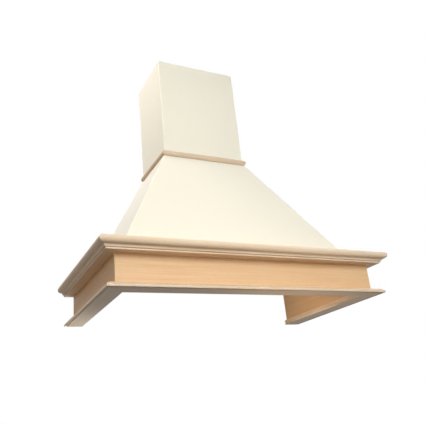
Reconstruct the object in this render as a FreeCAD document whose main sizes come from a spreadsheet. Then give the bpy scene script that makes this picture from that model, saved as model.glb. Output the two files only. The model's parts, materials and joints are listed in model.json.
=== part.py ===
"""Rustic chimney range hood: a wooden surround under a painted steel canopy and flue cover.

X runs along the wall, Y points to the wall and Z points up. The origin lies in the middle of the
footprint, on the plane of the surround's lower edge. All sizes are millimetres.
"""
import FreeCAD, Part
import os
import re

import Sketcher

SIZES = (
    ("overall_width", 900, "crown nose to crown nose"),
    ("overall_depth", 495, "wall to the front crown nose"),
    ("overall_height", 900, "lower edge to the top of the fixed flue cover"),
    ("surround_height", 124, "lower edge to the top of the crown"),
    ("crown_height", 32, "height of the crown moulding in front of the fascia"),
    ("crown_ledge", 110, "width of the crown from its nose to its inner edge"),
    ("crown_rebate", 12, "thickness of the crown over the fascia"),
    ("crown_lip", 7, "crown nose to the flat top"),
    ("crown_nose_drop", 13, "crown top down to its nose"),
    ("crown_throat", 6, "crown nose in to the throat under it"),
    ("crown_throat_drop", 22, "crown top down to the throat"),
    ("crown_quirk", 4, "flat beside the hollow of the crown"),
    ("crown_foot", 19, "crown nose in to its bottom edge"),
    ("crown_fillet", 4, "height of the fillet at the bottom of the crown"),
    ("fascia_setback", 49, "crown nose in to the fascia"),
    ("fascia_thickness", 18, "fascia board"),
    ("base_height", 16, "thickness of the base moulding"),
    ("base_edge", 6, "upright outer edge of the base moulding"),
    ("base_setback", 20, "crown nose in to the base moulding"),
    ("base_width", 56, "base moulding across"),
    ("base_thumb", 24, "shallow round from the edge of the base moulding in to its flat top"),
    ("block_leg", 38, "leg of a corner block"),
    ("block_drop", 18, "crown underside down to the top of a corner block"),
    ("trim_height", 21, "half round trim"),
    ("trim_projection", 10, "half round trim out from the flue cover"),
    ("canopy_side_margin", 80, "side crown nose in to the foot of the canopy"),
    ("canopy_front_margin", 85, "front crown nose in to the foot of the canopy"),
    ("canopy_height", 395, "canopy above the surround"),
    ("canopy_foot_flange", 24, "flange turned in at the foot"),
    ("canopy_top_flange", 14, "flange turned in at the top"),
    ("sheet_thickness", 1.2, "steel sheet of the canopy and flue covers"),
    ("flue_side_room", 60, "outlet flange to each side of the fixed flue cover"),
    ("flue_end_room", 19, "outlet flange to the front of the fixed flue cover, and to the wall"),
    ("flue_step", 5, "upper edge of the canopy in to the fixed flue cover"),
    ("flue_gap", 0.8, "air between the two flue covers"),
    ("upper_flue_rise", 79, "canopy top up to the foot of the sliding cover"),
    ("upper_flue_recess", 2, "sliding cover below the rim of the fixed one"),
    ("bracket_height", 30, "flue bracket strip"),
    ("bracket_arm", 34, "flue bracket arm"),
    ("bracket_thickness", 2, "flue bracket strip"),
    ("bracket_drop", 20, "flue bracket below the top of its cover"),
    ("bracket_hole_pitch", 180, "between the two flue bracket holes"),
    ("bracket_hole_diameter", 6, "flue bracket hole"),
    ("back_plate_thickness", 2, "back plate"),
    ("wall_hole_pitch", 300, "between the wall holes, across"),
    ("wall_hole_lift", 70, "surround top up to the lower wall holes"),
    ("wall_hole_drop", 105, "canopy top down to the upper wall holes"),
    ("wall_hole_diameter", 9, "wall hole"),
    ("mount_plate_thickness", 2, "plate that carries the blower"),
    ("outlet_diameter", 150, "outlet collar outside"),
    ("collar_wall", 1.5, "outlet collar"),
    ("collar_length", 60, "outlet collar above its flange"),
    ("collar_flange", 12, "outlet collar flange out from the collar"),
    ("collar_flange_thickness", 3, "outlet collar flange"),
    ("collar_lip", 3.5, "stop under the flaps, in from the collar bore"),
    ("flap_thickness", 1.2, "back draught flap"),
    ("flap_rim_gap", 0.7, "flap to the collar bore"),
    ("pin_diameter", 4, "flap pin"),
    ("pin_rise", 28, "collar foot up to the flap pin"),
    ("knuckle_wall", 1.4, "flap knuckle"),
    ("knuckle_length", 20, "one of the four flap knuckles"),
    ("running_clearance", 0.05, "shaft or pin in its bore, on the radius"),
    ("moving_clearance", 0.3, "between pieces that move past each other"),
    ("seat_clearance", 0.2, "between pieces that sit in each other"),
    ("impeller_diameter", 170, "impeller"),
    ("impeller_length", 124, "impeller"),
    ("impeller_ring", 3, "impeller end ring"),
    ("blade_depth", 15, "impeller blade, in from the rim"),
    ("blade_thickness", 1, "impeller blade"),
    ("blade_lean", 7, "outer edge of a blade ahead of its inner edge"),
    ("blade_count", 36, "impeller blades"),
    ("hub_diameter", 26, "impeller hub"),
    ("hub_length", 20, "impeller hub"),
    ("hub_disc", 3, "impeller disc"),
    ("scroll_gap", 9, "impeller to the scroll at the tongue"),
    ("scroll_growth", 11, "growth of the scroll in each quarter turn"),
    ("scroll_side_gap", 14, "impeller to each side wall of the scroll"),
    ("scroll_wall", 2, "scroll casing wall"),
    ("neck_margin", 3, "scroll outlet past the outlet collar, front and back"),
    ("neck_flange", 12, "scroll outlet flange"),
    ("neck_flange_thickness", 3, "scroll outlet flange"),
    ("inlet_diameter", 128, "scroll inlet"),
    ("blower_drop", 190, "canopy top down to the impeller axis"),
    ("motor_diameter", 84, "motor"),
    ("motor_gap", 1, "impeller hub to the bearing boss of the motor"),
    ("motor_collar", 5, "raised bearing boss of the motor"),
    ("shaft_diameter", 8, "motor shaft"),
    ("shaft_seat", 24, "shaft inside the motor"),
    ("spider_arm_count", 3, "arms of the motor spider"),
    ("spider_arm_width", 14, "arm of the motor spider"),
    ("spider_thickness", 3, "motor spider"),
    ("spider_grip", 14, "spider arm past the inlet rim"),
    ("capacitor_diameter", 32, "capacitor"),
    ("capacitor_length", 60, "capacitor"),
    ("terminal_width", 90, "terminal box"),
    ("terminal_height", 62, "terminal box"),
    ("terminal_depth", 34, "terminal box"),
    ("terminal_wall", 2.5, "terminal box and its lid"),
    ("terminal_side_margin", 80, "foot of the canopy in to the terminal box"),
    ("terminal_rise", 30, "surround top up to the terminal box"),
    ("gland_diameter", 18, "cable gland"),
    ("gland_length", 16, "cable gland"),
    ("gland_bore", 8, "cable gland bore"),
    ("panel_thickness", 1.2, "suction panel"),
    ("filter_side_margin", 14, "inner edge of the side crown to the filter openings"),
    ("control_strip", 101, "inner edge of the front crown to the filter openings"),
    ("filter_bar", 20, "panel between the two filter openings"),
    ("filter_rear_margin", 22, "wall to the filter openings"),
    ("filter_clearance", 1.5, "filter in its opening"),
    ("filter_thickness", 9, "filter cassette"),
    ("filter_rail", 20, "side and rear rails of the cassette"),
    ("filter_front_rail", 28, "front rail of the cassette"),
    ("filter_bead", 1.2, "radius of the rolled rear edge"),
    ("filter_mesh_thickness", 3, "filter mesh pack"),
    ("filter_tab_width", 24, "rear tab of the cassette"),
    ("filter_tab_reach", 8, "rear tab over the panel"),
    ("filter_tab_thickness", 1.5, "rear tab of the cassette"),
    ("latch_wall", 3, "cassette wall in front of the latch"),
    ("latch_width", 46, "filter latch"),
    ("latch_length", 10, "filter latch"),
    ("latch_depth", 6.5, "filter latch"),
    ("latch_travel", 6, "filter latch"),
    ("latch_grip", 3, "finger rib under the latch"),
    ("latch_bolt_width", 24, "latch bolt"),
    ("latch_bolt_thickness", 2, "latch bolt"),
    ("latch_bolt_reach", 7, "latch bolt past the cassette"),
    ("keeper_width", 18, "keeper spring"),
    ("keeper_thickness", 0.6, "keeper spring"),
    ("keeper_overlap", 4, "keeper spring under the bolt"),
    ("keeper_length", 24, "keeper spring"),
    ("notch_margin", 4, "panel notch round the bolt"),
    ("lamp_side_margin", 110, "inner edge of the side crown to the middle of a lamp"),
    ("lamp_set", 55, "filter openings to the row of lamps and buttons"),
    ("lamp_hole_diameter", 58, "lamp hole in the panel"),
    ("lamp_cup_height", 34, "lamp cup"),
    ("lamp_cup_wall", 2.5, "lamp cup"),
    ("lamp_bezel_rim", 7, "lamp bezel past the hole"),
    ("lamp_bezel_thickness", 3, "lamp bezel"),
    ("lamp_glass_thickness", 1.5, "lamp glass"),
    ("lamp_ledge", 3, "ledge under the lamp glass"),
    ("bulb_diameter", 12, "lamp bulb"),
    ("bulb_length", 22, "lamp bulb"),
    ("control_end", 12, "button plate past the end buttons"),
    ("control_edge", 9, "button plate past the buttons, front and back"),
    ("control_thickness", 3, "button plate"),
    ("control_lap", 5, "button plate past the switch box"),
    ("switch_height", 28, "switch box"),
    ("button_width", 14, "button"),
    ("button_depth", 12, "button"),
    ("button_gap", 5, "between buttons"),
    ("button_proud", 2.5, "button below its plate"),
    ("button_height", 9, "button"),
    ("button_travel", 3, "button"),
    ("screw_head_diameter", 8, "screw"),
    ("screw_head_height", 2.2, "screw"),
    ("screw_diameter", 3.6, "screw"),
    ("wood_screw_length", 10, "screw into the crown"),
)
ALIASES = {alias for alias, _, _ in SIZES}

# Places of the five buttons, counted from the middle one
BUTTON_PLACES = range(-2, 3)

# Ways in which an arc of an outline can turn
LEFT, RIGHT = 1, -1

# Planes and lines that several pieces share
WALL = "(overall_depth/2)"
NOSE = "(-overall_depth/2)"
SIDE = "(overall_width/2)"
CROWN_UNDER = "(surround_height - crown_rebate)"
PANEL_UNDER = f"({CROWN_UNDER} - panel_thickness)"
CANOPY_TOP = "(surround_height + canopy_height)"
FASCIA_INNER = "(fascia_setback + fascia_thickness)"
CANOPY_HALF = f"({SIDE} - canopy_side_margin)"
CANOPY_DEPTH = "(overall_depth - canopy_front_margin)"
FLUE_HALF = "(outlet_diameter/2 + collar_flange + flue_side_room)"
FLUE_DEPTH = "(outlet_diameter + 2*collar_flange + 2*flue_end_room)"
FLUE_FRONT = f"({WALL} - {FLUE_DEPTH})"
FLUE_MIDDLE = f"({WALL} - {FLUE_DEPTH}/2)"
PLATE_TOP = f"({CANOPY_TOP} + mount_plate_thickness)"
FILTER_REAR = f"({WALL} - filter_rear_margin)"
FILTER_FRONT = f"({NOSE} + crown_ledge + control_strip)"
FILTER_OUTER = f"({SIDE} - crown_ledge - filter_side_margin)"
FILTER_WIDTH = f"({FILTER_OUTER} - filter_bar/2)"
FILTER_MIDDLE = f"({FILTER_OUTER}/2 + filter_bar/4)"
CASSETTE_REAR = f"({FILTER_REAR} - filter_clearance)"
CASSETTE_FRONT = f"({FILTER_FRONT} + filter_clearance)"
BOLT_LOW = f"({CROWN_UNDER} + keeper_thickness + moving_clearance)"
LAMP_X = f"({SIDE} - crown_ledge - lamp_side_margin)"
CONTROL_ROW = f"({FILTER_FRONT} - lamp_set)"
BUTTON_PITCH = "(button_width + button_gap)"
CONTROL_HALF_WIDTH = f"(2*{BUTTON_PITCH} + button_width/2 + control_end)"
CONTROL_HALF_DEPTH = "(button_depth/2 + control_edge)"
SWITCH_HALF_WIDTH = f"({CONTROL_HALF_WIDTH} - control_lap)"
SWITCH_HALF_DEPTH = f"({CONTROL_HALF_DEPTH} - control_lap)"
NECK_DEPTH = "(outlet_diameter + 2*neck_margin)"
SCROLL_HALF = "(impeller_length/2 + scroll_side_gap + scroll_wall)"
SCROLL_START = "(impeller_diameter/2 + scroll_gap)"
SCROLL_REAR = f"({SCROLL_START} + 3*scroll_growth)"
BLOWER_Y = f"({FLUE_MIDDLE} - {SCROLL_REAR} + {NECK_DEPTH}/2)"
BLOWER_Z = f"({CANOPY_TOP} - blower_drop)"
MOTOR_FRONT = "(hub_length/2 + motor_gap)"

# Each plane's own normal points along its third axis, or against it
PLANES = {"XY": ("XY_Plane", 1), "XZ": ("XZ_Plane", -1), "YZ": ("YZ_Plane", 1)}

doc = FreeCAD.newDocument("range_hood")
sheet = doc.addObject("Spreadsheet::Sheet", "Sizes")
pieces = {}


def fill_sheet():
    """Puts every driving dimension in the sheet under its alias."""
    for row, (alias, size, meaning) in enumerate(SIZES, start=1):
        sheet.set(f"A{row}", meaning)
        sheet.set(f"B{row}", str(size))
        sheet.setAlias(f"B{row}", alias)
    doc.recompute()


def cells(formula):
    """A formula with each size name turned into a reference to its cell."""
    def reference(word):
        return f"Sizes.{word[0]}" if word[0] in ALIASES else word[0]
    return re.sub(r"[a-z]\w*", reference, str(formula))


def number(formula):
    """What a formula comes to with the sheet's present sizes."""
    return float(sheet.evalExpression(cells(formula)))


def bind(thing, setting, formula):
    """Ties one property to a formula over the sheet."""
    thing.setExpression(setting, cells(formula))


def place(thing, x=0, y=0, z=0):
    """Ties the place of a piece to formulas over the sheet."""
    for axis, formula in zip("xyz", (x, y, z)):
        bind(thing, f"Placement.Base.{axis}", formula)


def keep(label, thing):
    """Names a finished piece and lists it for writing."""
    thing.Label = label
    pieces[label] = thing
    return thing


def new_body(label):
    """An empty body that becomes the piece of that name."""
    return keep(label, doc.addObject("PartDesign::Body", label))


def origin_feature(body, role):
    """One of the body's own base planes or axes."""
    return next(feature for feature in body.Origin.OriginFeatures if feature.Role == role)


def fix_point(sketch, geometry, end, x, y):
    """Ties one end of a sketch line or arc to two formulas."""
    for kind, formula in (("DistanceX", x), ("DistanceY", y)):
        rule = Sketcher.Constraint(kind, -1, 1, geometry, end, number(formula))
        bind(sketch, f"Constraints[{sketch.addConstraint(rule)}]", formula)


def fix_radius(sketch, geometry, formula):
    """Ties the radius of a sketch arc or circle to a formula."""
    rule = Sketcher.Constraint("Radius", geometry, number(formula))
    bind(sketch, f"Constraints[{sketch.addConstraint(rule)}]", formula)


def arc_between(start, end, radius, left):
    """An arc from start to end, its middle on the left or the right of the way."""
    chord = end - start
    reach = (radius ** 2 - (chord.Length / 2) ** 2) ** 0.5
    aside = FreeCAD.Vector(-chord.y, chord.x, 0).normalize() * (reach if left else -reach)
    centre = start + chord * 0.5 + aside
    circle = Part.Circle(centre, FreeCAD.Vector(0, 0, 1), radius)
    first, last = (start, end) if left else (end, start)
    return Part.ArcOfCircle(circle, circle.parameter(first), circle.parameter(last))


def draw_outline(sketch, corners):
    """Draws a closed outline of (x, y) corners.

    A corner with a turn is reached by an arc, to the left where the turn is 1 and to the right where
    it is -1. A radius may follow, and without one the arc is a quarter round.
    """
    points = [FreeCAD.Vector(number(corner[0]), number(corner[1]), 0) for corner in corners]
    ends = []
    for place_in_row, corner in enumerate(corners):
        before = corners[place_in_row - 1]
        start, end = points[place_in_row - 1], points[place_in_row]
        if len(corner) == 2:
            geometry = sketch.addGeometry(Part.LineSegment(start, end))
            first, last = 1, 2
        else:
            chord = f"sqrt(({corner[0]} - ({before[0]}))^2 + ({corner[1]} - ({before[1]}))^2)"
            radius = corner[3] if len(corner) > 3 else f"{chord}*sqrt(0.5)"
            left = corner[2] > 0
            geometry = sketch.addGeometry(arc_between(start, end, number(radius), left))
            first, last = (1, 2) if left else (2, 1)
            fix_radius(sketch, geometry, radius)
        fix_point(sketch, geometry, last, corner[0], corner[1])
        ends.append((geometry, first, last))
    for (geometry, first, _), (other, _, last) in zip(ends, ends[-1:] + ends[:-1]):
        sketch.addConstraint(Sketcher.Constraint("Coincident", other, last, geometry, first))


def draw_circle(sketch, x, y, radius):
    """Draws a circle about (x, y)."""
    centre = FreeCAD.Vector(number(x), number(y), 0)
    geometry = sketch.addGeometry(Part.Circle(centre, FreeCAD.Vector(0, 0, 1), number(radius)))
    fix_point(sketch, geometry, 3, x, y)
    fix_radius(sketch, geometry, radius)


def sketch_on(body, plane, level, loops):
    """A sketch on one of the body's planes, moved to a level along the plane's axis.

    A loop is a list of corners, or a tuple of x, y and radius for a circle.
    """
    role, sign = PLANES[plane]
    sketch = body.newObject("Sketcher::SketchObject", f"{body.Name}_outline")
    sketch.AttachmentSupport = (origin_feature(body, role), [""])
    sketch.MapMode = "FlatFace"
    bind(sketch, "AttachmentOffset.Base.z", f"{sign}*({level})")
    for loop in loops:
        if isinstance(loop, tuple):
            draw_circle(sketch, *loop)
        else:
            draw_outline(sketch, loop)
    return sketch


def pad(body, plane, level, length, *loops):
    """Adds material from a level on, along the positive axis."""
    feature = body.newObject("PartDesign::Pad", f"{body.Name}_pad")
    feature.Profile = sketch_on(body, plane, level, loops)
    bind(feature, "Length", length)
    feature.Reversed = PLANES[plane][1] < 0
    doc.recompute()
    return feature


def pocket(body, plane, level, length, *loops):
    """Takes material away from a level on, along the positive axis."""
    volume = body.Shape.Volume
    feature = body.newObject("PartDesign::Pocket", f"{body.Name}_pocket")
    feature.Profile = sketch_on(body, plane, level, loops)
    bind(feature, "Length", length)
    feature.Reversed = PLANES[plane][1] > 0
    doc.recompute()
    if body.Shape.Volume >= volume:
        raise RuntimeError(f"a pocket of {body.Label} cuts nothing")
    return feature


def revolve(body, axis, *loops):
    """Turns an outline on the XZ plane round one of the body's axes."""
    feature = body.newObject("PartDesign::Revolution", f"{body.Name}_turn")
    feature.Profile = sketch_on(body, "XZ", 0, loops)
    feature.ReferenceAxis = (origin_feature(body, axis), [""])
    feature.Angle = 360
    doc.recompute()
    return feature


def repeat_round(body, feature, count):
    """Repeats a feature round the body's X axis."""
    pattern = body.newObject("PartDesign::PolarPattern", f"{body.Name}_round")
    pattern.Originals = [feature]
    pattern.Axis = (origin_feature(body, "X_Axis"), [""])
    pattern.Angle = 360
    bind(pattern, "Occurrences", count)
    body.Tip = pattern
    doc.recompute()


def mirrored(label, source):
    """The piece on the other side of the hood."""
    copy = doc.addObject("Part::Mirroring", label)
    copy.Source = source
    copy.Base = (0, 0, 0)
    copy.Normal = (1, 0, 0)
    return keep(label, copy)


def nosing(depth, rise):
    """Radius of an arc that leaves a nose upright and goes in by a depth over a rise."""
    return f"(({depth})^2 + ({rise})^2)/(2*({depth}))"


def rectangle(left, right, low, high):
    """Corners of a rectangle."""
    return [(left, low), (right, low), (right, high), (left, high)]


def mould_front(label, profile, half_width, front, width):
    """A length of moulding along the front, mitred at both ends.

    The profile has corners of distance in from the outer face and height.
    """
    body = new_body(label)
    outline = [(f"{front} + {corner[0]}", *corner[1:]) for corner in profile]
    pad(body, "YZ", f"-{half_width}", f"2*{half_width}", outline)
    for side in (-1, 1):
        end, inner = f"{side}*{half_width}", f"{front} + {width}"
        mitre = [(end, front), (end, inner), (f"{end} - {side}*{width}", inner)]
        pocket(body, "XY", 0, "overall_height", mitre)
    return body


def mould_side(label, profile, half_width, front, width):
    """A length of moulding along the left side, mitred at the front."""
    body = new_body(label)
    outline = [(f"-{half_width} + {corner[0]}", *corner[1:]) for corner in profile]
    pad(body, "XZ", front, f"{WALL} - {front}", outline)
    inner = f"-{half_width} + {width}"
    mitre = [(f"-{half_width}", front), (inner, front), (inner, f"{front} + {width}")]
    pocket(body, "XY", 0, "overall_height", mitre)
    return body


def moulding(name, profile, half_width, front, width):
    """The front, left and right lengths of one moulding."""
    face = mould_front(f"front_{name}", profile, half_width, front, width)
    left = mould_side(f"left_{name}", profile, half_width, front, width)
    right = mirrored(f"right_{name}", left)
    return face, left, right


def make_surround():
    """Fascia boards, base moulding, crown and the corner blocks behind them."""
    base_inner = "(base_setback + base_width)"
    base_profile = [
        (base_inner, 0),
        (base_inner, "base_height"),
        ("base_setback + base_thumb", "base_height"),
        ("base_setback", "base_edge", LEFT, nosing("base_height - base_edge", "base_thumb")),
        ("base_setback", 0),
    ]
    moulding("base_moulding", base_profile, SIDE, NOSE, base_inner)

    fascia_profile = rectangle("fascia_setback", FASCIA_INNER, "base_height", CROWN_UNDER)
    moulding("fascia_board", fascia_profile, SIDE, NOSE, FASCIA_INNER)

    fillet_top = "surround_height - crown_height + crown_fillet"
    crown_profile = [
        ("crown_ledge", "surround_height"),
        ("crown_lip", "surround_height"),
        (0, "surround_height - crown_nose_drop", LEFT, nosing("crown_lip", "crown_nose_drop")),
        ("crown_throat", "surround_height - crown_throat_drop", LEFT,
         nosing("crown_throat", "crown_throat_drop - crown_nose_drop")),
        ("crown_throat + crown_quirk", "surround_height - crown_throat_drop"),
        ("crown_foot - crown_quirk", fillet_top, RIGHT),
        ("crown_foot", fillet_top),
        ("crown_foot", "surround_height - crown_height"),
        ("fascia_setback", "surround_height - crown_height"),
        ("fascia_setback", CROWN_UNDER),
        ("crown_ledge", CROWN_UNDER),
    ]
    crowns = moulding("crown_moulding", crown_profile, SIDE, NOSE, "crown_ledge")
    for crown, places in zip(crowns, (front_screw_places(), left_screw_places())):
        holes = [(x, y, "screw_diameter/2 + seat_clearance") for x, y in places]
        pocket(crown, "XY", CROWN_UNDER, "wood_screw_length", *holes)

    corner_x = f"(-{SIDE} + {FASCIA_INNER})"
    corner_y = f"({NOSE} + {FASCIA_INNER})"
    block = new_body("left_corner_block")
    along, across = f"{corner_x} + block_leg", f"{corner_y} + block_leg"
    triangle = [(corner_x, corner_y), (along, corner_y), (corner_x, across)]
    pad(block, "XY", "base_height", f"{CROWN_UNDER} - block_drop - base_height", triangle)
    mirrored("right_corner_block", block)


def front_screw_places():
    """Screws of the suction panel into the front crown."""
    row = f"{NOSE} + ({FASCIA_INNER} + crown_ledge)/2"
    return [(f"{share}*({SIDE} - crown_ledge)/2", row) for share in (-1, 0, 1)]


def left_screw_places():
    """Screws of the suction panel into the left crown."""
    column = f"-{SIDE} + ({FASCIA_INNER} + crown_ledge)/2"
    return [(column, f"{share}*overall_depth/4") for share in (0, 1)]


def make_trim():
    """Half round trim where the flue cover meets the canopy."""
    half_width = f"({FLUE_HALF} + trim_projection)"
    front = f"({FLUE_FRONT} - trim_projection)"
    round_edge = nosing("trim_projection", "trim_height/2")
    foot = f"({CANOPY_TOP} + seat_clearance)"
    profile = [
        ("trim_projection", foot, LEFT, round_edge),
        ("trim_projection", f"{foot} + trim_height"),
        (0, f"{foot} + trim_height/2", LEFT, round_edge),
    ]
    moulding("trim", profile, half_width, front, "trim_projection")


def canopy_section(half_width, depth, inset):
    """A level section of the canopy, open to the wall."""
    front = f"{WALL} - {depth} + {inset}"
    return rectangle(f"-({half_width} - {inset})", f"{half_width} - {inset}", front, WALL)


def loft(body, kind, low_level, low, high_level, high):
    """Adds or takes away the straight sided form between two level outlines."""
    feature = body.newObject(f"PartDesign::{kind}", f"{body.Name}_loft")
    feature.Profile = sketch_on(body, "XY", low_level, [low])
    feature.Sections = [sketch_on(body, "XY", high_level, [high])]
    feature.Ruled = True
    doc.recompute()
    return feature


def flange_outline(half_width, depth, inset, width):
    """A flat flange turned in along the front and both sides."""
    outer, inner = f"({half_width} - {inset})", f"({half_width} - {width})"
    front, back = f"{WALL} - {depth} + {inset}", f"{WALL} - {depth} + {width}"
    return [
        (f"-{outer}", WALL), (f"-{outer}", front), (outer, front), (outer, WALL),
        (inner, WALL), (inner, back), (f"-{inner}", back), (f"-{inner}", WALL),
    ]


def make_canopy():
    """Folded sheet canopy, open to the wall, and the plate that closes it there."""
    top_half = f"({FLUE_HALF} + flue_step)"
    foot = (CANOPY_HALF, CANOPY_DEPTH)
    top = (top_half, f"({FLUE_DEPTH} + flue_step)")
    body = new_body("canopy_shell")
    for kind, inset in (("AdditiveLoft", 0), ("SubtractiveLoft", "sheet_thickness")):
        low, high = canopy_section(*foot, inset), canopy_section(*top, inset)
        loft(body, kind, "surround_height", low, CANOPY_TOP, high)
    pad(body, "XY", "surround_height", "sheet_thickness",
        flange_outline(*foot, "sheet_thickness", "canopy_foot_flange"))
    pad(body, "XY", f"{CANOPY_TOP} - sheet_thickness", "sheet_thickness",
        flange_outline(*top, 0, "canopy_top_flange"))

    plate = new_body("back_plate")
    foot_tongue = f"({SIDE} - crown_ledge - seat_clearance)"
    foot_edge = f"({CANOPY_HALF} - 2*sheet_thickness - seat_clearance)"
    top_edge = f"({top_half} - sheet_thickness - seat_clearance)"
    top_tongue = f"({top_half} - canopy_top_flange - seat_clearance)"
    above_foot = "surround_height + sheet_thickness"
    below_top = f"{CANOPY_TOP} - sheet_thickness"
    right_edge = [
        (foot_tongue, CROWN_UNDER), (foot_tongue, above_foot), (foot_edge, above_foot),
        (top_edge, below_top), (top_tongue, below_top), (top_tongue, CANOPY_TOP),
    ]
    outline = right_edge + [(f"-{x}", z) for x, z in reversed(right_edge)]
    pad(plate, "XZ", f"{WALL} - back_plate_thickness", "back_plate_thickness", outline)
    holes = []
    for side in (-1, 1):
        for level in ("surround_height + wall_hole_lift", f"{CANOPY_TOP} - wall_hole_drop"):
            holes.append((f"{side}*wall_hole_pitch/2", level, "wall_hole_diameter/2"))
    pocket(plate, "XZ", f"{WALL} - back_plate_thickness", "back_plate_thickness", *holes)


def channel(half_width, front, thickness):
    """A sheet folded round three sides, open to the wall."""
    inner = f"({half_width} - {thickness})"
    back = f"{front} + {thickness}"
    return [
        (f"-{half_width}", WALL), (f"-{half_width}", front), (half_width, front), (half_width, WALL),
        (inner, WALL), (inner, back), (f"-{inner}", back), (f"-{inner}", WALL),
    ]


def make_flue():
    """The fixed flue cover, the sliding one inside it and the bracket in its top."""
    lower = new_body("lower_flue_cover")
    pad(lower, "XY", CANOPY_TOP, f"overall_height - {CANOPY_TOP}",
        channel(FLUE_HALF, FLUE_FRONT, "sheet_thickness"))

    inset = "(sheet_thickness + flue_gap)"
    half_width = f"({FLUE_HALF} - {inset})"
    top = "(overall_height - upper_flue_recess)"
    upper = new_body("upper_flue_cover")
    upper_foot = f"({CANOPY_TOP} + upper_flue_rise)"
    pad(upper, "XY", upper_foot, f"{top} - {upper_foot}",
        channel(half_width, f"{FLUE_FRONT} + {inset}", "sheet_thickness"))

    bracket = new_body("flue_bracket")
    outer = f"({half_width} - sheet_thickness - seat_clearance)"
    inner = f"({outer} - bracket_thickness)"
    strip_front = f"({WALL} - bracket_thickness)"
    arm_front = f"({WALL} - bracket_arm)"
    right_half = [(inner, strip_front), (inner, arm_front), (outer, arm_front), (outer, WALL)]
    outline = right_half + [(f"-{x}", y) for x, y in reversed(right_half)]
    foot = f"({top} - bracket_drop - bracket_height)"
    pad(bracket, "XY", foot, "bracket_height", outline)
    middle = f"{foot} + bracket_height/2"
    holes = [(f"{side}*bracket_hole_pitch/2", middle, "bracket_hole_diameter/2") for side in (-1, 1)]
    pocket(bracket, "XZ", strip_front, "bracket_thickness", *holes)


def neck_screw_places(middle):
    """The four screws of the blower flange, about the middle of the neck."""
    column = f"({SCROLL_HALF} + neck_flange/2)"
    row = f"({NECK_DEPTH}/4)"
    return [(f"{side}*{column}", f"{middle} + {end}*{row}") for side in (-1, 1) for end in (-1, 1)]


def make_outlet():
    """The plate over the canopy, the outlet collar on it and the two flaps in the collar."""
    plate = new_body("blower_mount_plate")
    inset = "(sheet_thickness + seat_clearance)"
    half_width = f"({FLUE_HALF} - {inset})"
    pad(plate, "XY", CANOPY_TOP, "mount_plate_thickness",
        rectangle(f"-{half_width}", half_width, f"{FLUE_FRONT} + {inset}", WALL))
    bore = "(outlet_diameter/2 - collar_wall)"
    holes = [(0, FLUE_MIDDLE, bore)]
    holes += [(x, y, "screw_diameter/2 + seat_clearance") for x, y in neck_screw_places(FLUE_MIDDLE)]
    pocket(plate, "XY", CANOPY_TOP, "mount_plate_thickness", *holes)

    collar = new_body("outlet_collar")
    place(collar, 0, FLUE_MIDDLE, PLATE_TOP)
    collar_top = "collar_flange_thickness + collar_length"
    lip_top = "(pin_rise - flap_thickness/2 - moving_clearance)"
    lip_low = f"({lip_top} - collar_wall)"
    lip = f"({bore} - collar_lip)"
    revolve(collar, "Z_Axis", [
        (bore, 0), ("outlet_diameter/2 + collar_flange", 0),
        ("outlet_diameter/2 + collar_flange", "collar_flange_thickness"),
        ("outlet_diameter/2", "collar_flange_thickness"), ("outlet_diameter/2", collar_top),
        (bore, collar_top), (bore, lip_top), (lip, lip_top), (lip, lip_low), (bore, lip_low),
    ])
    pocket(collar, "XZ", "-outlet_diameter/2", "outlet_diameter",
           (0, "pin_rise", "pin_diameter/2 + running_clearance"))

    pin = new_body("flap_pin")
    place(pin, 0, FLUE_MIDDLE, f"{PLATE_TOP} + pin_rise")
    pin_half = f"({bore} + collar_wall/2)"
    pad(pin, "XZ", f"-{pin_half}", f"2*{pin_half}", (0, 0, "pin_diameter/2"))
    make_flap("right_flap", 1)
    make_flap("left_flap", -1)


def make_flap(label, side):
    """A half round flap on two of the four knuckles along the pin."""
    body = new_body(label)
    place(body, 0, FLUE_MIDDLE, f"{PLATE_TOP} + pin_rise")
    knuckle = "(pin_diameter/2 + running_clearance + knuckle_wall)"
    rim = "(outlet_diameter/2 - collar_wall - flap_rim_gap)"
    edge = f"({knuckle} + moving_clearance)"
    rim_y = f"sqrt({rim}^2 - {edge}^2)"
    half_disc = [(f"{side}*{edge}", f"-{rim_y}"), (f"{side}*{rim}", 0, side, rim),
                 (f"{side}*{edge}", rim_y, side, rim)]
    pad(body, "XY", "-flap_thickness/2", "flap_thickness", half_disc)
    step = "(knuckle_length + 2*moving_clearance)"
    for slot in ((-1.5, 0.5) if side > 0 else (-0.5, 1.5)):
        start = f"({slot}*{step} - knuckle_length/2)"
        web = rectangle(f"{side}*pin_diameter/2", f"{side}*({edge} + knuckle_wall)", start,
                        f"{start} + knuckle_length")
        pad(body, "XY", "-flap_thickness/2", "flap_thickness", web)
        pad(body, "XZ", start, "knuckle_length", (0, 0, knuckle))
    pocket(body, "XZ", f"-{rim}", f"2*{rim}", (0, 0, "pin_diameter/2 + running_clearance"))


def scroll_outline(inset, top):
    """The scroll in three growing quarter turns, then straight up to its outlet."""
    radius = [f"({SCROLL_START} + {turn}*scroll_growth - {inset})" for turn in range(3)]
    neck_front = f"({SCROLL_REAR} - {NECK_DEPTH} + {inset})"
    rear = f"({SCROLL_REAR} - {inset})"
    tongue = f"sqrt({radius[0]}^2 - {neck_front}^2)"
    return [
        (neck_front, top), (neck_front, tongue),
        (f"-{radius[0]}", 0, LEFT, radius[0]),
        ("scroll_growth", f"-{radius[1]}", LEFT, radius[1]),
        (rear, "scroll_growth", LEFT, radius[2]),
        (rear, top),
    ]


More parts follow.
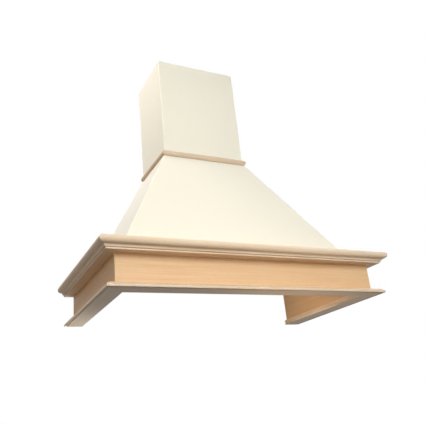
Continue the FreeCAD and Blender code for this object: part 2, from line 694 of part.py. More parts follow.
def make_casing():
    """The two halves of the scroll casing."""
    half = new_body("left_scroll_half")
    place(half, 0, BLOWER_Y, BLOWER_Z)
    pad(half, "YZ", f"-{SCROLL_HALF}", SCROLL_HALF, scroll_outline(0, "blower_drop"))
    neck_front = f"({SCROLL_REAR} - {NECK_DEPTH})"
    pad(half, "XY", "blower_drop - neck_flange_thickness", "neck_flange_thickness",
        rectangle(f"-({SCROLL_HALF} + neck_flange)", 0, f"{neck_front} - neck_flange",
                  f"{SCROLL_REAR} + neck_flange"))
    inside = scroll_outline("scroll_wall", "blower_drop + scroll_wall")
    pocket(half, "YZ", f"-({SCROLL_HALF} - scroll_wall)", SCROLL_HALF, inside)
    pocket(half, "YZ", f"-{SCROLL_HALF}", "scroll_wall", (0, 0, "inlet_diameter/2"))
    middle = f"({SCROLL_REAR} - {NECK_DEPTH}/2)"
    holes = [(x, y, "screw_diameter/2 + seat_clearance") for x, y in neck_screw_places(middle)[:2]]
    pocket(half, "XY", "blower_drop - neck_flange_thickness", "neck_flange_thickness", *holes)
    mirrored("right_scroll_half", half)


def make_impeller():
    """Double inlet impeller with leaning blades, and its shaft."""
    body = new_body("impeller")
    place(body, 0, BLOWER_Y, BLOWER_Z)
    outer = "(impeller_diameter/2)"
    inner = f"({outer} - blade_depth)"
    blade_tip = f"({outer} - impeller_ring/2)"
    pad(body, "YZ", "-hub_length/2", "hub_length", (0, 0, "hub_diameter/2"))
    pad(body, "YZ", "-hub_disc/2", "hub_disc", (0, 0, f"{inner} + blade_depth/2"))
    blade = pad(body, "YZ", "-impeller_length/2", "impeller_length", [
        (inner, 0), (blade_tip, "blade_lean", LEFT, "blade_depth + blade_lean"),
        (blade_tip, "blade_lean + blade_thickness"),
        (inner, "blade_thickness", RIGHT, "blade_depth + blade_lean"),
    ])
    repeat_round(body, blade, "blade_count")
    for level in ("-impeller_length/2", "impeller_length/2 - impeller_ring"):
        pad(body, "YZ", level, "impeller_ring", (0, 0, outer), (0, 0, inner))
    pocket(body, "YZ", "-hub_length/2", "hub_length", (0, 0, "shaft_diameter/2 + running_clearance"))

    shaft = new_body("motor_shaft")
    place(shaft, 0, BLOWER_Y, BLOWER_Z)
    shaft_length = f"hub_length/2 + {MOTOR_FRONT} + shaft_seat"
    pad(shaft, "YZ", "-hub_length/2", shaft_length, (0, 0, "shaft_diameter/2"))


def make_motor():
    """Motor in the right inlet, the spider that carries it and its capacitor."""
    motor = new_body("motor")
    place(motor, 0, BLOWER_Y, BLOWER_Z)
    body_front = f"({MOTOR_FRONT} + motor_collar)"
    bore = "(shaft_diameter/2 + running_clearance)"
    seat_end = f"({MOTOR_FRONT} + shaft_seat + moving_clearance)"
    boss = "(shaft_diameter/2 + motor_collar)"
    revolve(motor, "X_Axis", [
        (MOTOR_FRONT, bore), (MOTOR_FRONT, boss), (body_front, boss), (body_front, "motor_diameter/2"),
        (SCROLL_HALF, "motor_diameter/2"), (SCROLL_HALF, 0), (seat_end, 0), (seat_end, bore),
    ])

    spider = new_body("motor_spider")
    place(spider, 0, BLOWER_Y, BLOWER_Z)
    reach = "(inlet_diameter/2 + spider_grip)"
    pad(spider, "YZ", SCROLL_HALF, "spider_thickness", (0, 0, "motor_diameter/2"))
    arm = pad(spider, "YZ", SCROLL_HALF, "spider_thickness",
              rectangle(0, reach, "-spider_arm_width/2", "spider_arm_width/2"))
    repeat_round(spider, arm, "spider_arm_count")

    capacitor = new_body("capacitor")
    across = "((inlet_diameter/2 + capacitor_diameter/2 + scroll_wall)*sqrt(0.5))"
    place(capacitor, 0, f"{BLOWER_Y} + {across}", f"{BLOWER_Z} - {across}")
    end = f"-{SCROLL_HALF} - capacitor_length"
    pad(capacitor, "YZ", end, "capacitor_length", (0, 0, "capacitor_diameter/2"))


def make_terminals():
    """Terminal box on the back plate, its lid and the cable gland in its side."""
    left = f"(terminal_side_margin - {CANOPY_HALF})"
    right = f"({left} + terminal_width)"
    low = "(surround_height + terminal_rise)"
    high = f"({low} + terminal_height)"
    rear = f"({WALL} - back_plate_thickness)"
    front = f"({rear} - terminal_depth)"
    box = new_body("terminal_box")
    pad(box, "XZ", front, "terminal_depth", rectangle(left, right, low, high))
    inside = rectangle(f"{left} + terminal_wall", f"{right} - terminal_wall",
                       f"{low} + terminal_wall", f"{high} - terminal_wall")
    pocket(box, "XZ", front, "terminal_depth - terminal_wall", inside)
    middle = (f"{rear} - terminal_depth/2", f"{low} + terminal_height/2")
    pocket(box, "YZ", left, "terminal_wall", (*middle, "gland_bore/2"))
    lid = new_body("terminal_lid")
    pad(lid, "XZ", f"{front} - terminal_wall", "terminal_wall", rectangle(left, right, low, high))
    gland = new_body("cable_gland")
    pad(gland, "YZ", f"{left} - gland_length", "gland_length", (*middle, "gland_diameter/2"))
    pocket(gland, "YZ", f"{left} - gland_length", "gland_length", (*middle, "gland_bore/2"))


def make_panel():
    """The suction panel under the canopy, with its filter, lamp, button and screw openings."""
    panel = new_body("suction_panel")
    half_width = f"({SIDE} - {FASCIA_INNER} - seat_clearance)"
    pad(panel, "XY", PANEL_UNDER, "panel_thickness",
        rectangle(f"-{half_width}", half_width, f"{NOSE} + {FASCIA_INNER} + seat_clearance", WALL))
    notch_half = "(latch_bolt_width/2 + notch_margin)"
    notch_front = f"({FILTER_FRONT} - latch_bolt_reach - notch_margin)"
    for side in (-1, 1):
        middle = f"{side}*{FILTER_MIDDLE}"
        left, right = f"{middle} - {FILTER_WIDTH}/2", f"{middle} + {FILTER_WIDTH}/2"
        notch_left, notch_right = f"{middle} - {notch_half}", f"{middle} + {notch_half}"
        outline = [
            (left, FILTER_FRONT), (notch_left, FILTER_FRONT), (notch_left, notch_front),
            (notch_right, notch_front), (notch_right, FILTER_FRONT), (right, FILTER_FRONT),
            (right, FILTER_REAR), (left, FILTER_REAR),
        ]
        pocket(panel, "XY", PANEL_UNDER, "panel_thickness", outline)
    box = (f"({SWITCH_HALF_WIDTH} + seat_clearance)", f"({SWITCH_HALF_DEPTH} + seat_clearance)")
    pocket(panel, "XY", PANEL_UNDER, "panel_thickness",
           rectangle(f"-{box[0]}", box[0], f"{CONTROL_ROW} - {box[1]}", f"{CONTROL_ROW} + {box[1]}"))
    holes = [(f"{side}*{LAMP_X}", CONTROL_ROW, "lamp_hole_diameter/2") for side in (-1, 1)]
    holes += [(x, y, "screw_diameter/2 + seat_clearance") for x, y in panel_screw_places()]
    pocket(panel, "XY", PANEL_UNDER, "panel_thickness", *holes)


def panel_screw_places():
    """All screws that hold the suction panel under the crown."""
    left = left_screw_places()
    return front_screw_places() + left + [(f"-({x})", y) for x, y in left]


def make_filter(side_name, side):
    """A grease filter cassette with its mesh, latch and keeper spring."""
    middle = f"({side}*{FILTER_MIDDLE})"
    half_width = f"({FILTER_WIDTH}/2 - filter_clearance)"
    top = f"({PANEL_UNDER} + filter_thickness)"
    left, right = f"({middle} - {half_width})", f"({middle} + {half_width})"
    bead_y, bead_z = f"({CASSETTE_REAR} - filter_bead)", f"({PANEL_UNDER} + filter_bead)"

    frame = new_body(f"{side_name}_filter_frame")
    section = [
        (CASSETTE_FRONT, PANEL_UNDER), (bead_y, PANEL_UNDER), (CASSETTE_REAR, bead_z, LEFT),
        (CASSETTE_REAR, top), (CASSETTE_FRONT, top),
    ]
    pad(frame, "YZ", left, f"{right} - {left}", section)
    inside = (f"{left} + filter_rail", f"{right} - filter_rail",
              f"{CASSETTE_FRONT} + filter_front_rail", f"{CASSETTE_REAR} - filter_rail")
    pocket(frame, "XY", PANEL_UNDER, "filter_thickness", rectangle(*inside))
    tab_low = f"({CROWN_UNDER} + moving_clearance)"
    for share in (-1, 1):
        tab = f"({middle} + {share}*{FILTER_WIDTH}/4)"
        pad(frame, "XY", tab_low, "filter_tab_thickness",
            rectangle(f"{tab} - filter_tab_width/2", f"{tab} + filter_tab_width/2",
                      f"{CASSETTE_REAR} - filter_bead", f"{FILTER_REAR} + filter_tab_reach"))
    bay_half = "(latch_width/2 + moving_clearance)"
    bay_front = f"({CASSETTE_FRONT} + latch_wall)"
    bay_rear = f"({bay_front} + latch_length + latch_travel + 2*moving_clearance)"
    pocket(frame, "XY", PANEL_UNDER, "latch_depth + moving_clearance",
           rectangle(f"{middle} - {bay_half}", f"{middle} + {bay_half}", bay_front, bay_rear))
    slot_half = "(latch_bolt_width/2 + moving_clearance)"
    pocket(frame, "XZ", CASSETTE_FRONT, "latch_wall",
           rectangle(f"{middle} - {slot_half}", f"{middle} + {slot_half}", f"{BOLT_LOW} - moving_clearance",
                     f"{BOLT_LOW} + latch_bolt_thickness + moving_clearance"))

    mesh = new_body(f"{side_name}_filter_mesh")
    mesh_low = f"{PANEL_UNDER} + filter_thickness/2 - filter_mesh_thickness/2"
    pad(mesh, "XY", mesh_low, "filter_mesh_thickness",
        rectangle(f"{inside[0]} + seat_clearance", f"{inside[1]} - seat_clearance",
                  f"{inside[2]} + seat_clearance", f"{inside[3]} - seat_clearance"))

    latch = new_body(f"{side_name}_filter_latch")
    latch_front = f"({bay_front} + moving_clearance)"
    pad(latch, "XY", PANEL_UNDER, "latch_depth",
        rectangle(f"{middle} - latch_width/2", f"{middle} + latch_width/2", latch_front,
                  f"{latch_front} + latch_length"))
    pad(latch, "XY", BOLT_LOW, "latch_bolt_thickness",
        rectangle(f"{middle} - latch_bolt_width/2", f"{middle} + latch_bolt_width/2",
                  f"{CASSETTE_FRONT} - latch_bolt_reach", f"{latch_front} + latch_length/2"))
    pad(latch, "XY", f"{PANEL_UNDER} - latch_grip", "latch_grip",
        rectangle(f"{middle} - latch_width/3", f"{middle} + latch_width/3",
                  f"{latch_front} + latch_length/4", f"{latch_front} + latch_length/2"))

    keeper = new_body(f"{side_name}_keeper_spring")
    keeper_rear = f"({CASSETTE_FRONT} - latch_bolt_reach + keeper_overlap)"
    pad(keeper, "XY", CROWN_UNDER, "keeper_thickness",
        rectangle(f"{middle} - keeper_width/2", f"{middle} + keeper_width/2",
                  f"{keeper_rear} - keeper_length", keeper_rear))


def make_lamp(side_name, side):
    """A round lamp: bezel, glass and cup."""
    where = (f"{side}*{LAMP_X}", CONTROL_ROW, PANEL_UNDER)
    cup_outer = "(lamp_hole_diameter/2 - seat_clearance)"
    cup_inner = f"({cup_outer} - lamp_cup_wall)"
    glass = f"({cup_inner} + lamp_cup_wall/2)"
    rebate = f"({glass} + seat_clearance)"
    rim = "(lamp_hole_diameter/2 + lamp_bezel_rim)"
    opening = f"({glass} - lamp_ledge)"

    bezel = new_body(f"{side_name}_lamp_bezel")
    place(bezel, *where)
    revolve(bezel, "Z_Axis", [
        (rebate, 0), (rebate, "-lamp_glass_thickness"), (opening, "-lamp_glass_thickness"),
        (opening, "-lamp_bezel_thickness"), (f"{rim} - lamp_bezel_thickness", "-lamp_bezel_thickness"),
        (rim, 0, LEFT),
    ])
    pane = new_body(f"{side_name}_lamp_glass")
    place(pane, *where)
    pad(pane, "XY", "-lamp_glass_thickness", "lamp_glass_thickness", (0, 0, glass))
    cup = new_body(f"{side_name}_lamp_cup")
    place(cup, *where)
    revolve(cup, "Z_Axis", [
        (cup_inner, 0), (cup_outer, 0), (cup_outer, "lamp_cup_height"), (0, "lamp_cup_height"),
        (0, "lamp_cup_height - lamp_cup_wall"), (cup_inner, "lamp_cup_height - lamp_cup_wall"),
    ])


def make_bulbs():
    """The two bulbs in the lamp cups, alike, as one group."""
    bulbs = []
    for side in (-1, 1):
        bulb = doc.addObject("Part::Cylinder", "bulb")
        bind(bulb, "Radius", "bulb_diameter/2")
        bind(bulb, "Height", "bulb_length")
        place(bulb, f"{side}*{LAMP_X}", CONTROL_ROW,
              f"{PANEL_UNDER} + lamp_cup_height - lamp_cup_wall - bulb_length")
        bulbs.append(bulb)
    gather("lamp_bulbs", bulbs)


def gather(label, solids):
    """A group of like solids as one piece."""
    group = doc.addObject("Part::Compound", label)
    group.Links = solids
    return keep(label, group)


def make_controls():
    """Button plate, switch box above the panel and five push buttons."""
    plate = new_body("button_plate")
    pad(plate, "XY", f"{PANEL_UNDER} - control_thickness", "control_thickness",
        rectangle(f"-{CONTROL_HALF_WIDTH}", CONTROL_HALF_WIDTH, f"{CONTROL_ROW} - {CONTROL_HALF_DEPTH}",
                  f"{CONTROL_ROW} + {CONTROL_HALF_DEPTH}"))
    box = new_body("switch_box")
    pad(box, "XY", PANEL_UNDER, "switch_height",
        rectangle(f"-{SWITCH_HALF_WIDTH}", SWITCH_HALF_WIDTH, f"{CONTROL_ROW} - {SWITCH_HALF_DEPTH}",
                  f"{CONTROL_ROW} + {SWITCH_HALF_DEPTH}"))
    low = f"({PANEL_UNDER} - control_thickness - button_proud)"
    wells = [button_outline(position, "moving_clearance") for position in BUTTON_PLACES]
    pocket(plate, "XY", f"{PANEL_UNDER} - control_thickness", "control_thickness", *wells)
    well_depth = "(button_height + button_travel + moving_clearance - control_thickness - button_proud)"
    pocket(box, "XY", PANEL_UNDER, well_depth, *wells)
    for order, position in enumerate(BUTTON_PLACES, start=1):
        button = new_body(f"button_{order}")
        pad(button, "XY", low, "button_height", button_outline(position, 0))


def button_outline(position, clearance):
    """Plan of one button, or of its well with a clearance all round."""
    middle = f"({position}*{BUTTON_PITCH})"
    half_width = f"(button_width/2 + {clearance})"
    half_depth = f"(button_depth/2 + {clearance})"
    return rectangle(f"{middle} - {half_width}", f"{middle} + {half_width}", f"{CONTROL_ROW} - {half_depth}",
                     f"{CONTROL_ROW} + {half_depth}")


def screw(x, y, seat, length):
    """A pan head screw that points up, its head under the seat."""
    head = doc.addObject("Part::Cylinder", "screw_head")
    bind(head, "Radius", "screw_head_diameter/2")
    bind(head, "Height", "screw_head_height")
    place(head, x, y, f"{seat} - screw_head_height")
    shank = doc.addObject("Part::Cylinder", "screw_shank")
    bind(shank, "Radius", "screw_diameter/2")
    bind(shank, "Height", f"{length} + screw_head_height/2")
    place(shank, x, y, f"{seat} - screw_head_height/2")
    whole = doc.addObject("Part::MultiFuse", "screw")
    whole.Shapes = [head, shank]
    return whole


def make_screws():
    """Screws of the suction panel and of the blower flange."""
    gather("panel_screws", [screw(x, y, PANEL_UNDER, "wood_screw_length") for x, y in panel_screw_places()])
    seat = f"({CANOPY_TOP} - neck_flange_thickness)"
    grip = "(neck_flange_thickness + mount_plate_thickness)"
    places = neck_screw_places(FLUE_MIDDLE)
    gather("blower_screws", [screw(x, y, seat, grip) for x, y in places])


def make_hood():
    """Every piece of the hood."""
    make_surround()
    make_trim()
    make_canopy()
    make_flue()
    make_outlet()
    make_casing()
    make_impeller()
    make_motor()
    make_terminals()
    make_panel()
    for side_name, side in (("left", -1), ("right", 1)):
        make_filter(side_name, side)
        make_lamp(side_name, side)
    make_bulbs()
    make_controls()
    make_screws()


def check_pieces():
    """Stops where any step failed or a piece is not a sound solid."""
    doc.recompute()
    failed = [thing.Label for thing in doc.Objects if {"Invalid", "Error"} & set(thing.State)]
    if failed:
        raise RuntimeError(f"failed: {failed}")
    for label, thing in pieces.items():
        if thing.Shape.isNull() or not thing.Shape.isValid() or not thing.Shape.Solids:
            raise RuntimeError(f"{label} is not a sound solid")


def write_pieces():
    """Writes each piece to a file of its own name."""
    os.makedirs("parts", exist_ok=True)
    for label, thing in pieces.items():
        thing.Shape.exportStep(f"parts/{label}.step")


fill_sheet()
make_hood()
check_pieces()
write_pieces()
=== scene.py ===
"""Looks of a wall-hung chimney range hood: wooden surround, painted steel, filters, lamps and blower."""

import json
import math

import bmesh
import bpy
from bmesh.types import BMEdge, BMVert
from bpy.props import FloatProperty, FloatVectorProperty, IntProperty, PointerProperty
from mathutils import Matrix, Vector

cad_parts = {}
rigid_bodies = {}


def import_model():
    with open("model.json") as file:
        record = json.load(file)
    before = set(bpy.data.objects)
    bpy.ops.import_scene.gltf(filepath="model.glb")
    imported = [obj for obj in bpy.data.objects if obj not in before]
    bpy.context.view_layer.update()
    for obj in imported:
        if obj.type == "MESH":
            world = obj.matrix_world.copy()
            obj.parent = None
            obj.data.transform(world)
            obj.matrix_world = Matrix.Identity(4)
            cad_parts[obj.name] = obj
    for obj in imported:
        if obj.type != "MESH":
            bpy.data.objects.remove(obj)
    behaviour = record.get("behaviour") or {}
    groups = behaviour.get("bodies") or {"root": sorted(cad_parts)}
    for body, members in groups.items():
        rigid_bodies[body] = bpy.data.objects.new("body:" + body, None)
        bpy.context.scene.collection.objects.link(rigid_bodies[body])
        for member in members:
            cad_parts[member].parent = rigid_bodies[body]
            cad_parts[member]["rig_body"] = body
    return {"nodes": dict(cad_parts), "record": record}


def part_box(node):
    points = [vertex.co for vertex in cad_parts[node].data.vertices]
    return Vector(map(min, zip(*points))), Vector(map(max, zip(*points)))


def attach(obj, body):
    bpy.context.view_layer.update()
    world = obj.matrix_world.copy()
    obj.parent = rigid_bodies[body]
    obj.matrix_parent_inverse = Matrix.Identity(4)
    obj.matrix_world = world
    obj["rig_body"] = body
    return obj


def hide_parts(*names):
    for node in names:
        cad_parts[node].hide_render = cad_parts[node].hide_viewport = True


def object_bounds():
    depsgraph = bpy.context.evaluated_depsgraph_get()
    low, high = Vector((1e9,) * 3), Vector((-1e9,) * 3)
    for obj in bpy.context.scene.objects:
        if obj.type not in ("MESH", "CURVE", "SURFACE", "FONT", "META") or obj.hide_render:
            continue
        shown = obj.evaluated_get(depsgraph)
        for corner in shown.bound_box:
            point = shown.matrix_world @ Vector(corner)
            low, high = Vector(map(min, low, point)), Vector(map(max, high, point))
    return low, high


bl_info = {
    "name": "Chimney range hood",
    "version": (1, 0, 0),
    "blender": (4, 5, 0),
    "location": "View3D > Sidebar > Range Hood",
    "description": "Builds the looks of a wall-hung chimney range hood round its solid model",
    "category": "Object",
}

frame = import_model()
CAD_LOW, CAD_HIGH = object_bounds()
SIDE, WALL = CAD_HIGH.x, CAD_HIGH.y
X, Y, Z = Vector((1, 0, 0)), Vector((0, 1, 0)), Vector((0, 0, 1))
SIDES = {"left": -1, "right": 1}
PALE_MEMBERS = ("crown", "base", "trim")
MEMBERS = (*PALE_MEMBERS, "fascia", "block")

# Points nearer to each other, nearer to a saw cut and nearer in height than this are taken as one
SAME, ON_CUT, LEVEL = 1e-6, 1e-7, 1e-5
# Flats in each arc of a moulding's outline
ARC_STEPS = 8
# Place across, foot and length of the stiffening beads in each half of the back plate
BEADS = ((0.075, 0.17, 0.30), (0.205, 0.24, 0.11))
# Depth of a bead beside half its width, and width of its floor beside its own
BEAD_PRESS, BEAD_FLOOR = 0.36, 0.4
# Size of the diamonds in each layer of a filter's mesh, beside those of the outer layer
LAYER_SIZES = (1.0, 0.55, 0.7, 0.6)
# Rings of a lamp's glass, every other one raised
GLASS_RINGS = 24
# Radius and height of a bulb from its shoulder to its foot, beside those of the whole bulb
BULB_FOOT = ((1, 0.62), (0.86, 0.68), (0.62, 0.70), (0.62, 0.76), (0.9, 0.78), (0.9, 0.84), (0.8, 0.86),
             (0.8, 0.9), (0.9, 0.92), (0.9, 1), (0, 1))
# Width of each ring of a push button's dish, and its share of the dish's depth
DISH_RINGS = ((0.0012, 0.4), (0.0014, 0.35), (0.0012, 0.25))
# Flat face of a screw's pan head beside its radius, then height and radius of the rounds above the face
PAN_FACE, PAN_ROUNDS = 0.68, ((0.12, 0.86), (0.4, 0.97), (0.6, 1))
# Tip of a screw beside the radius of its head
SCREW_TIP = 0.12

WARM, COOL, BLUE, AMBER, PEACH = (
    (1.0, 0.985, 0.955), (0.9, 0.95, 1.0), (0.72, 0.89, 1.0), (1.0, 0.82, 0.62), (1.0, 0.8, 0.6))
# Where each lamp stands, where it looks, its width, the spread of its beam in degrees, and its colour
LAMPS = {
    "key": ((-0.36, -1.9, 0.6), (-0.1, -0.1, 0.2), 1.5, 120, WARM),
    "right": ((0.25, -1.9, 0.8), (0.1, -0.1, 0.2), 1.0, 120, BLUE),
    "top": ((-1.0, 0.2, 1.9), (-0.15, 0.15, 0.75), 0.7, 120, WARM),
    "flue": ((-0.9, -1.6, 0.95), (-0.02, 0.15, 0.82), 0.3, 24, WARM),
    "left": ((-2.2, -0.4, 0.45), (-0.4, 0.05, 0.1), 0.8, 120, WARM),
    "low": ((-0.33, 0.05, -0.05), (0.37, 0.05, -0.04), 0.15, 50, AMBER),
    "under": ((0.0, -0.1, -1.2), (0.13, -0.2, 0.0), 0.3, 26, PEACH),
    "rear": ((0.3, 0.9, -0.5), (-0.41, 0.2, 0.0), 0.15, 16, COOL),
    "back": ((1.6, 1.7, 1.2), (0.0, 0.25, 0.35), 1.8, 140, WARM),
    "side": ((2.2, 0.5, 0.9), (0.2, 0.1, 0.3), 1.2, 140, WARM),
}
# Tint of the light from all round
AMBIENT_TINT = (1.02, 1, 0.94)
# Width of the camera's film in millimetres
FILM_WIDTH = 36


def length(name, description, default):
    """A size in metres."""
    return FloatProperty(name=name, description=description, default=default, min=0, precision=5,
                         unit="LENGTH")


def hue(name, description, red, green, blue):
    """A colour, written as the screen shows it and kept as linear light."""
    linear = [v / 255 / 12.92 if v < 11 else ((v / 255 + 0.055) / 1.055) ** 2.4
              for v in (red, green, blue)]
    return FloatVectorProperty(name=name, description=description, default=linear, size=3, min=0, max=1,
                               subtype="COLOR")


def share(name, description, default):
    """A plain number from none to all."""
    return FloatProperty(name=name, description=description, default=default, min=0, max=1, subtype="FACTOR")


def watts(name, description, default):
    """The power of a lamp."""
    return FloatProperty(name=name, description=description, default=default, min=0, unit="POWER")


def swing(name, description, degrees):
    """A turn of the camera."""
    return FloatProperty(name=name, description=description, default=math.radians(degrees), subtype="ANGLE")


class WoodSettings(bpy.types.PropertyGroup):
    """Sizes and colours of the wooden surround and the trim."""
    arris: length("Arris", "Rounding of the sharp edges of the wood", 0.0009)
    crown_lip: length("Crown lip", "Depth of the round above the widest line of the crown", 0.007)
    crown_shoulder: length("Crown shoulder", "Height of the round above the widest line of the crown", 0.010)
    crown_return: length("Crown return", "Depth of the round below the widest line of the crown", 0.008)
    crown_belly: length("Crown belly", "Height of the round below the widest line of the crown", 0.010)
    crown_quirk: length("Crown quirk", "Flat between the nose and the hollow of the crown", 0.002)
    crown_fillet: length("Crown fillet", "Flat at the foot of the hollow of the crown", 0.004)
    crown_hollow_depth: length("Crown hollow depth", "Depth of the hollow of the crown", 0.005)
    crown_hollow_drop: length("Crown hollow drop", "Height of the hollow of the crown", 0.007)
    base_edge: length("Base edge", "Upright outer edge of the base moulding", 0.006)
    base_thumb: length("Base thumb", "Depth of the shallow round on top of the base moulding", 0.024)
    base_lip: length("Base lip", "Flat under the edge of the base moulding, in front of its groove", 0.0022)
    base_quirk: length("Base quirk", "Width of the groove under the edge of the base moulding", 0.006)
    base_quirk_depth: length("Base quirk depth", "Depth of the groove under the base moulding", 0.003)
    block_round: length("Block round", "Rounding of the edges of the corner blocks", 0.0018)
    light: hue("Fascia light", "Early wood of the fascia boards", 241, 201, 155)
    dark: hue("Fascia dark", "Late wood of the fascia boards", 227, 178, 126)
    pale_light: hue("Moulding light", "Early wood of the crown, base and trim", 244, 219, 191)
    pale_dark: hue("Moulding dark", "Late wood of the crown, base and trim", 232, 197, 158)
    trim_shade: share("Trim shade", "How dark the trim is beside the mouldings", 0.84)
    fleck: hue("Fleck", "Rays and pores of the wood", 172, 118, 72)
    figure: length("Figure width", "Width of one band of the grain", 0.014)


class SheetSettings(bpy.types.PropertyGroup):
    """Sizes and colours of the painted and the bare sheet metal."""
    thickness: length("Sheet", "Thickness of the painted sheet steel", 0.0012)
    fold: length("Fold", "Outer radius of a fold", 0.0024)
    top_half: length("Canopy top half width", "Half the canopy's width at its top", 0.152)
    top_front: FloatProperty(name="Canopy top front", description="Front of the canopy at its top",
                             default=0.0305, unit="LENGTH")
    foot_flange: length("Foot flange", "Flange turned in at the canopy's foot", 0.024)
    top_flange: length("Top flange", "Flange turned in at the canopy's top", 0.014)
    play: length("Play", "Gap where a sheet sits against its neighbour", 0.0002)
    bead: length("Bead", "Half the width of a stiffening bead in the back plate", 0.009)
    cream: hue("Cream paint", "Paint of the canopy and the flue", 249, 240, 220)
    zinc: hue("Zinc", "Galvanised steel of the back plate and brackets", 176, 180, 184)
    steel: hue("Brushed steel", "Stainless steel of the suction panel", 178, 178, 177)
    aluminium: hue("Aluminium", "Frames and mesh of the grease filters", 186, 188, 191)
    chrome: hue("Bright steel", "Plated steel of the lamp bezels and cups", 190, 191, 192)
    screw: hue("Screw steel", "Plated screws and springs", 150, 150, 148)
    motor: hue("Motor steel", "Rolled steel of the motor's case", 138, 140, 143)


class PlasticSettings(bpy.types.PropertyGroup):
    """Colours of the plastic and glass pieces."""
    black: hue("Black plastic", "Blower casing, collar, flaps and button plate", 38, 38, 40)
    button: hue("Button plastic", "Push buttons", 64, 64, 66)
    white: hue("White plastic", "Capacitor and terminal box", 226, 224, 217)
    glass: hue("Lamp glass", "Frosted glass of the lamps", 240, 244, 242)


class FittingSettings(bpy.types.PropertyGroup):
    """Sizes of the filters' expanded metal, the lamps' glasses and the push buttons."""
    diamond_long: length("Diamond length", "Long way of one diamond of the outer mesh", 0.02)
    diamond_short: length("Diamond height", "Short way of one diamond of the outer mesh", 0.012)
    strand: length("Strand", "Width of a strand of the outer mesh", 0.0013)
    strand_sheet: length("Strand sheet", "Thickness of the sheet that a mesh is cut from", 0.0005)
    layers: IntProperty(name="Layers", description="Layers of mesh in a cassette", default=3, min=1,
                        max=len(LAYER_SIZES))
    glass_rib: length("Glass rib", "Height of a raised ring of a lamp's glass", 0.0003)
    button_round: length("Button round", "Rounding of a push button's edges", 0.0011)
    button_dish: length("Button dish", "Depth of the dish in a push button", 0.0006)


class StageSettings(bpy.types.PropertyGroup):
    """Camera, lamps, floor and background."""
    camera_place: FloatVectorProperty(name="Camera place", description="Where the camera stands",
                                      default=(-0.78007, -1.44911, -0.34009), size=3, subtype="TRANSLATION",
                                      unit="LENGTH")
    yaw: swing("Yaw", "Turn of the camera from straight ahead to the right", 27.96)
    pitch: swing("Pitch", "Tilt of the camera above the level", 21.73)
    roll: swing("Roll", "Lean of the camera about its own line of sight", -5.96)
    lens: FloatProperty(name="Lens", description="Focal length of the camera", default=46.446, unit="CAMERA")
    floor_drop: length("Floor drop", "Height of the hood above the floor", 1.9)
    floor_white: share("Floor white", "How white the floor looks apart from the light on it", 0.72)
    key: watts("Key lamp", "Soft lamp in front of the hood, a little above it", 12.2)
    right: watts("Right lamp", "Soft lamp in front, to the right of the key lamp", 4.9)
    top: watts("Top lamp", "Soft lamp above, to the left", 10.6)
    flue: watts("Flue lamp", "Narrow lamp in front, level with the flue", 0.08)
    left: watts("Left lamp", "Soft lamp to the left, a little above the surround", 1.4)
    low: watts("Low lamp", "Small lamp under the hood that looks at the inside of the right fascia", 0.2)
    under: watts("Under lamp", "Small warm lamp below the front of the surround", 0.10)
    rear: watts("Rear lamp", "Small cool lamp behind and below, aimed at the left base moulding", 0.10)
    back: watts("Back lamp", "Soft lamp behind, for views from the wall's side", 15.0)
    side: watts("Side lamp", "Soft lamp to the right, for views from there", 5.0)
    ambient: share("Ambient", "Light from all round", 0.07)


def settings(name):
    """The settings of one kind, kept on the scene."""
    return getattr(bpy.context.scene, "hood_" + name)


class Finish:
    """A node material in the making, with a short call for each node it is made of."""

    def __init__(self, name):
        self.material = bpy.data.materials.new(name)
        self.material.use_nodes = True
        self.nodes = self.material.node_tree.nodes
        self.links = self.material.node_tree.links
        self.shader = self.nodes["Principled BSDF"]
        self.place = self.nodes.new("ShaderNodeTexCoord").outputs["Object"]

    def feed(self, socket, value):
        if isinstance(value, bpy.types.NodeSocket):
            self.links.new(value, socket)
        elif hasattr(socket.default_value, "__len__") and len(socket.default_value) == 4:
            socket.default_value = (*value[:3], 1)
        else:
            socket.default_value = value

    def mapped(self, scale, shift=(0, 0, 0)):
        node = self.nodes.new("ShaderNodeMapping")
        for socket, value in (("Vector", self.place), ("Scale", scale), ("Location", shift)):
            self.feed(node.inputs[socket], value)
        return node.outputs["Vector"]

    def noise(self, vector, detail, roughness=0.5, scale=1.0, distortion=0.0):
        node = self.nodes.new("ShaderNodeTexNoise")
        for socket, value in (("Vector", vector), ("Scale", scale), ("Detail", detail),
                              ("Roughness", roughness), ("Distortion", distortion)):
            self.feed(node.inputs[socket], value)
        return node.outputs["Fac"]

    def cells(self, vector, scale, output="Color"):
        node = self.nodes.new("ShaderNodeTexVoronoi")
        self.feed(node.inputs["Vector"], vector)
        self.feed(node.inputs["Scale"], scale)
        return node.outputs[output]

    def ramp(self, factor, *stops):
        node = self.nodes.new("ShaderNodeValToRGB")
        self.feed(node.inputs["Fac"], factor)
        while len(node.color_ramp.elements) < len(stops):
            node.color_ramp.elements.new(0.5)
        for element, (position, colour) in zip(node.color_ramp.elements, stops):
            element.position = position
            element.color = (*colour, 1) if hasattr(colour, "__len__") else (colour, colour, colour, 1)
        return node.outputs["Color"]

    def mix(self, factor, first, second):
        node = self.nodes.new("ShaderNodeMix")
        node.data_type = "RGBA"
        for socket, value in ((0, factor), (6, first), (7, second)):
            self.feed(node.inputs[socket], value)
        return node.outputs[2]

    def span(self, factor, low, high):
        node = self.nodes.new("ShaderNodeMapRange")
        for socket, value in (("Value", factor), ("To Min", low), ("To Max", high)):
            self.feed(node.inputs[socket], value)
        return node.outputs["Result"]

    def bump(self, height, depth, strength=0.5):
        node = self.nodes.new("ShaderNodeBump")
        for socket, value in (("Height", height), ("Distance", depth), ("Strength", strength)):
            self.feed(node.inputs[socket], value)
        if self.shader.inputs["Normal"].links:
            self.feed(node.inputs["Normal"], self.shader.inputs["Normal"].links[0].from_socket)
        self.feed(self.shader.inputs["Normal"], node.outputs["Normal"])

    def coat(self, **sockets):
        for name, value in sockets.items():
            self.feed(self.shader.inputs[name.replace("_", " ")], value)
        return self.material


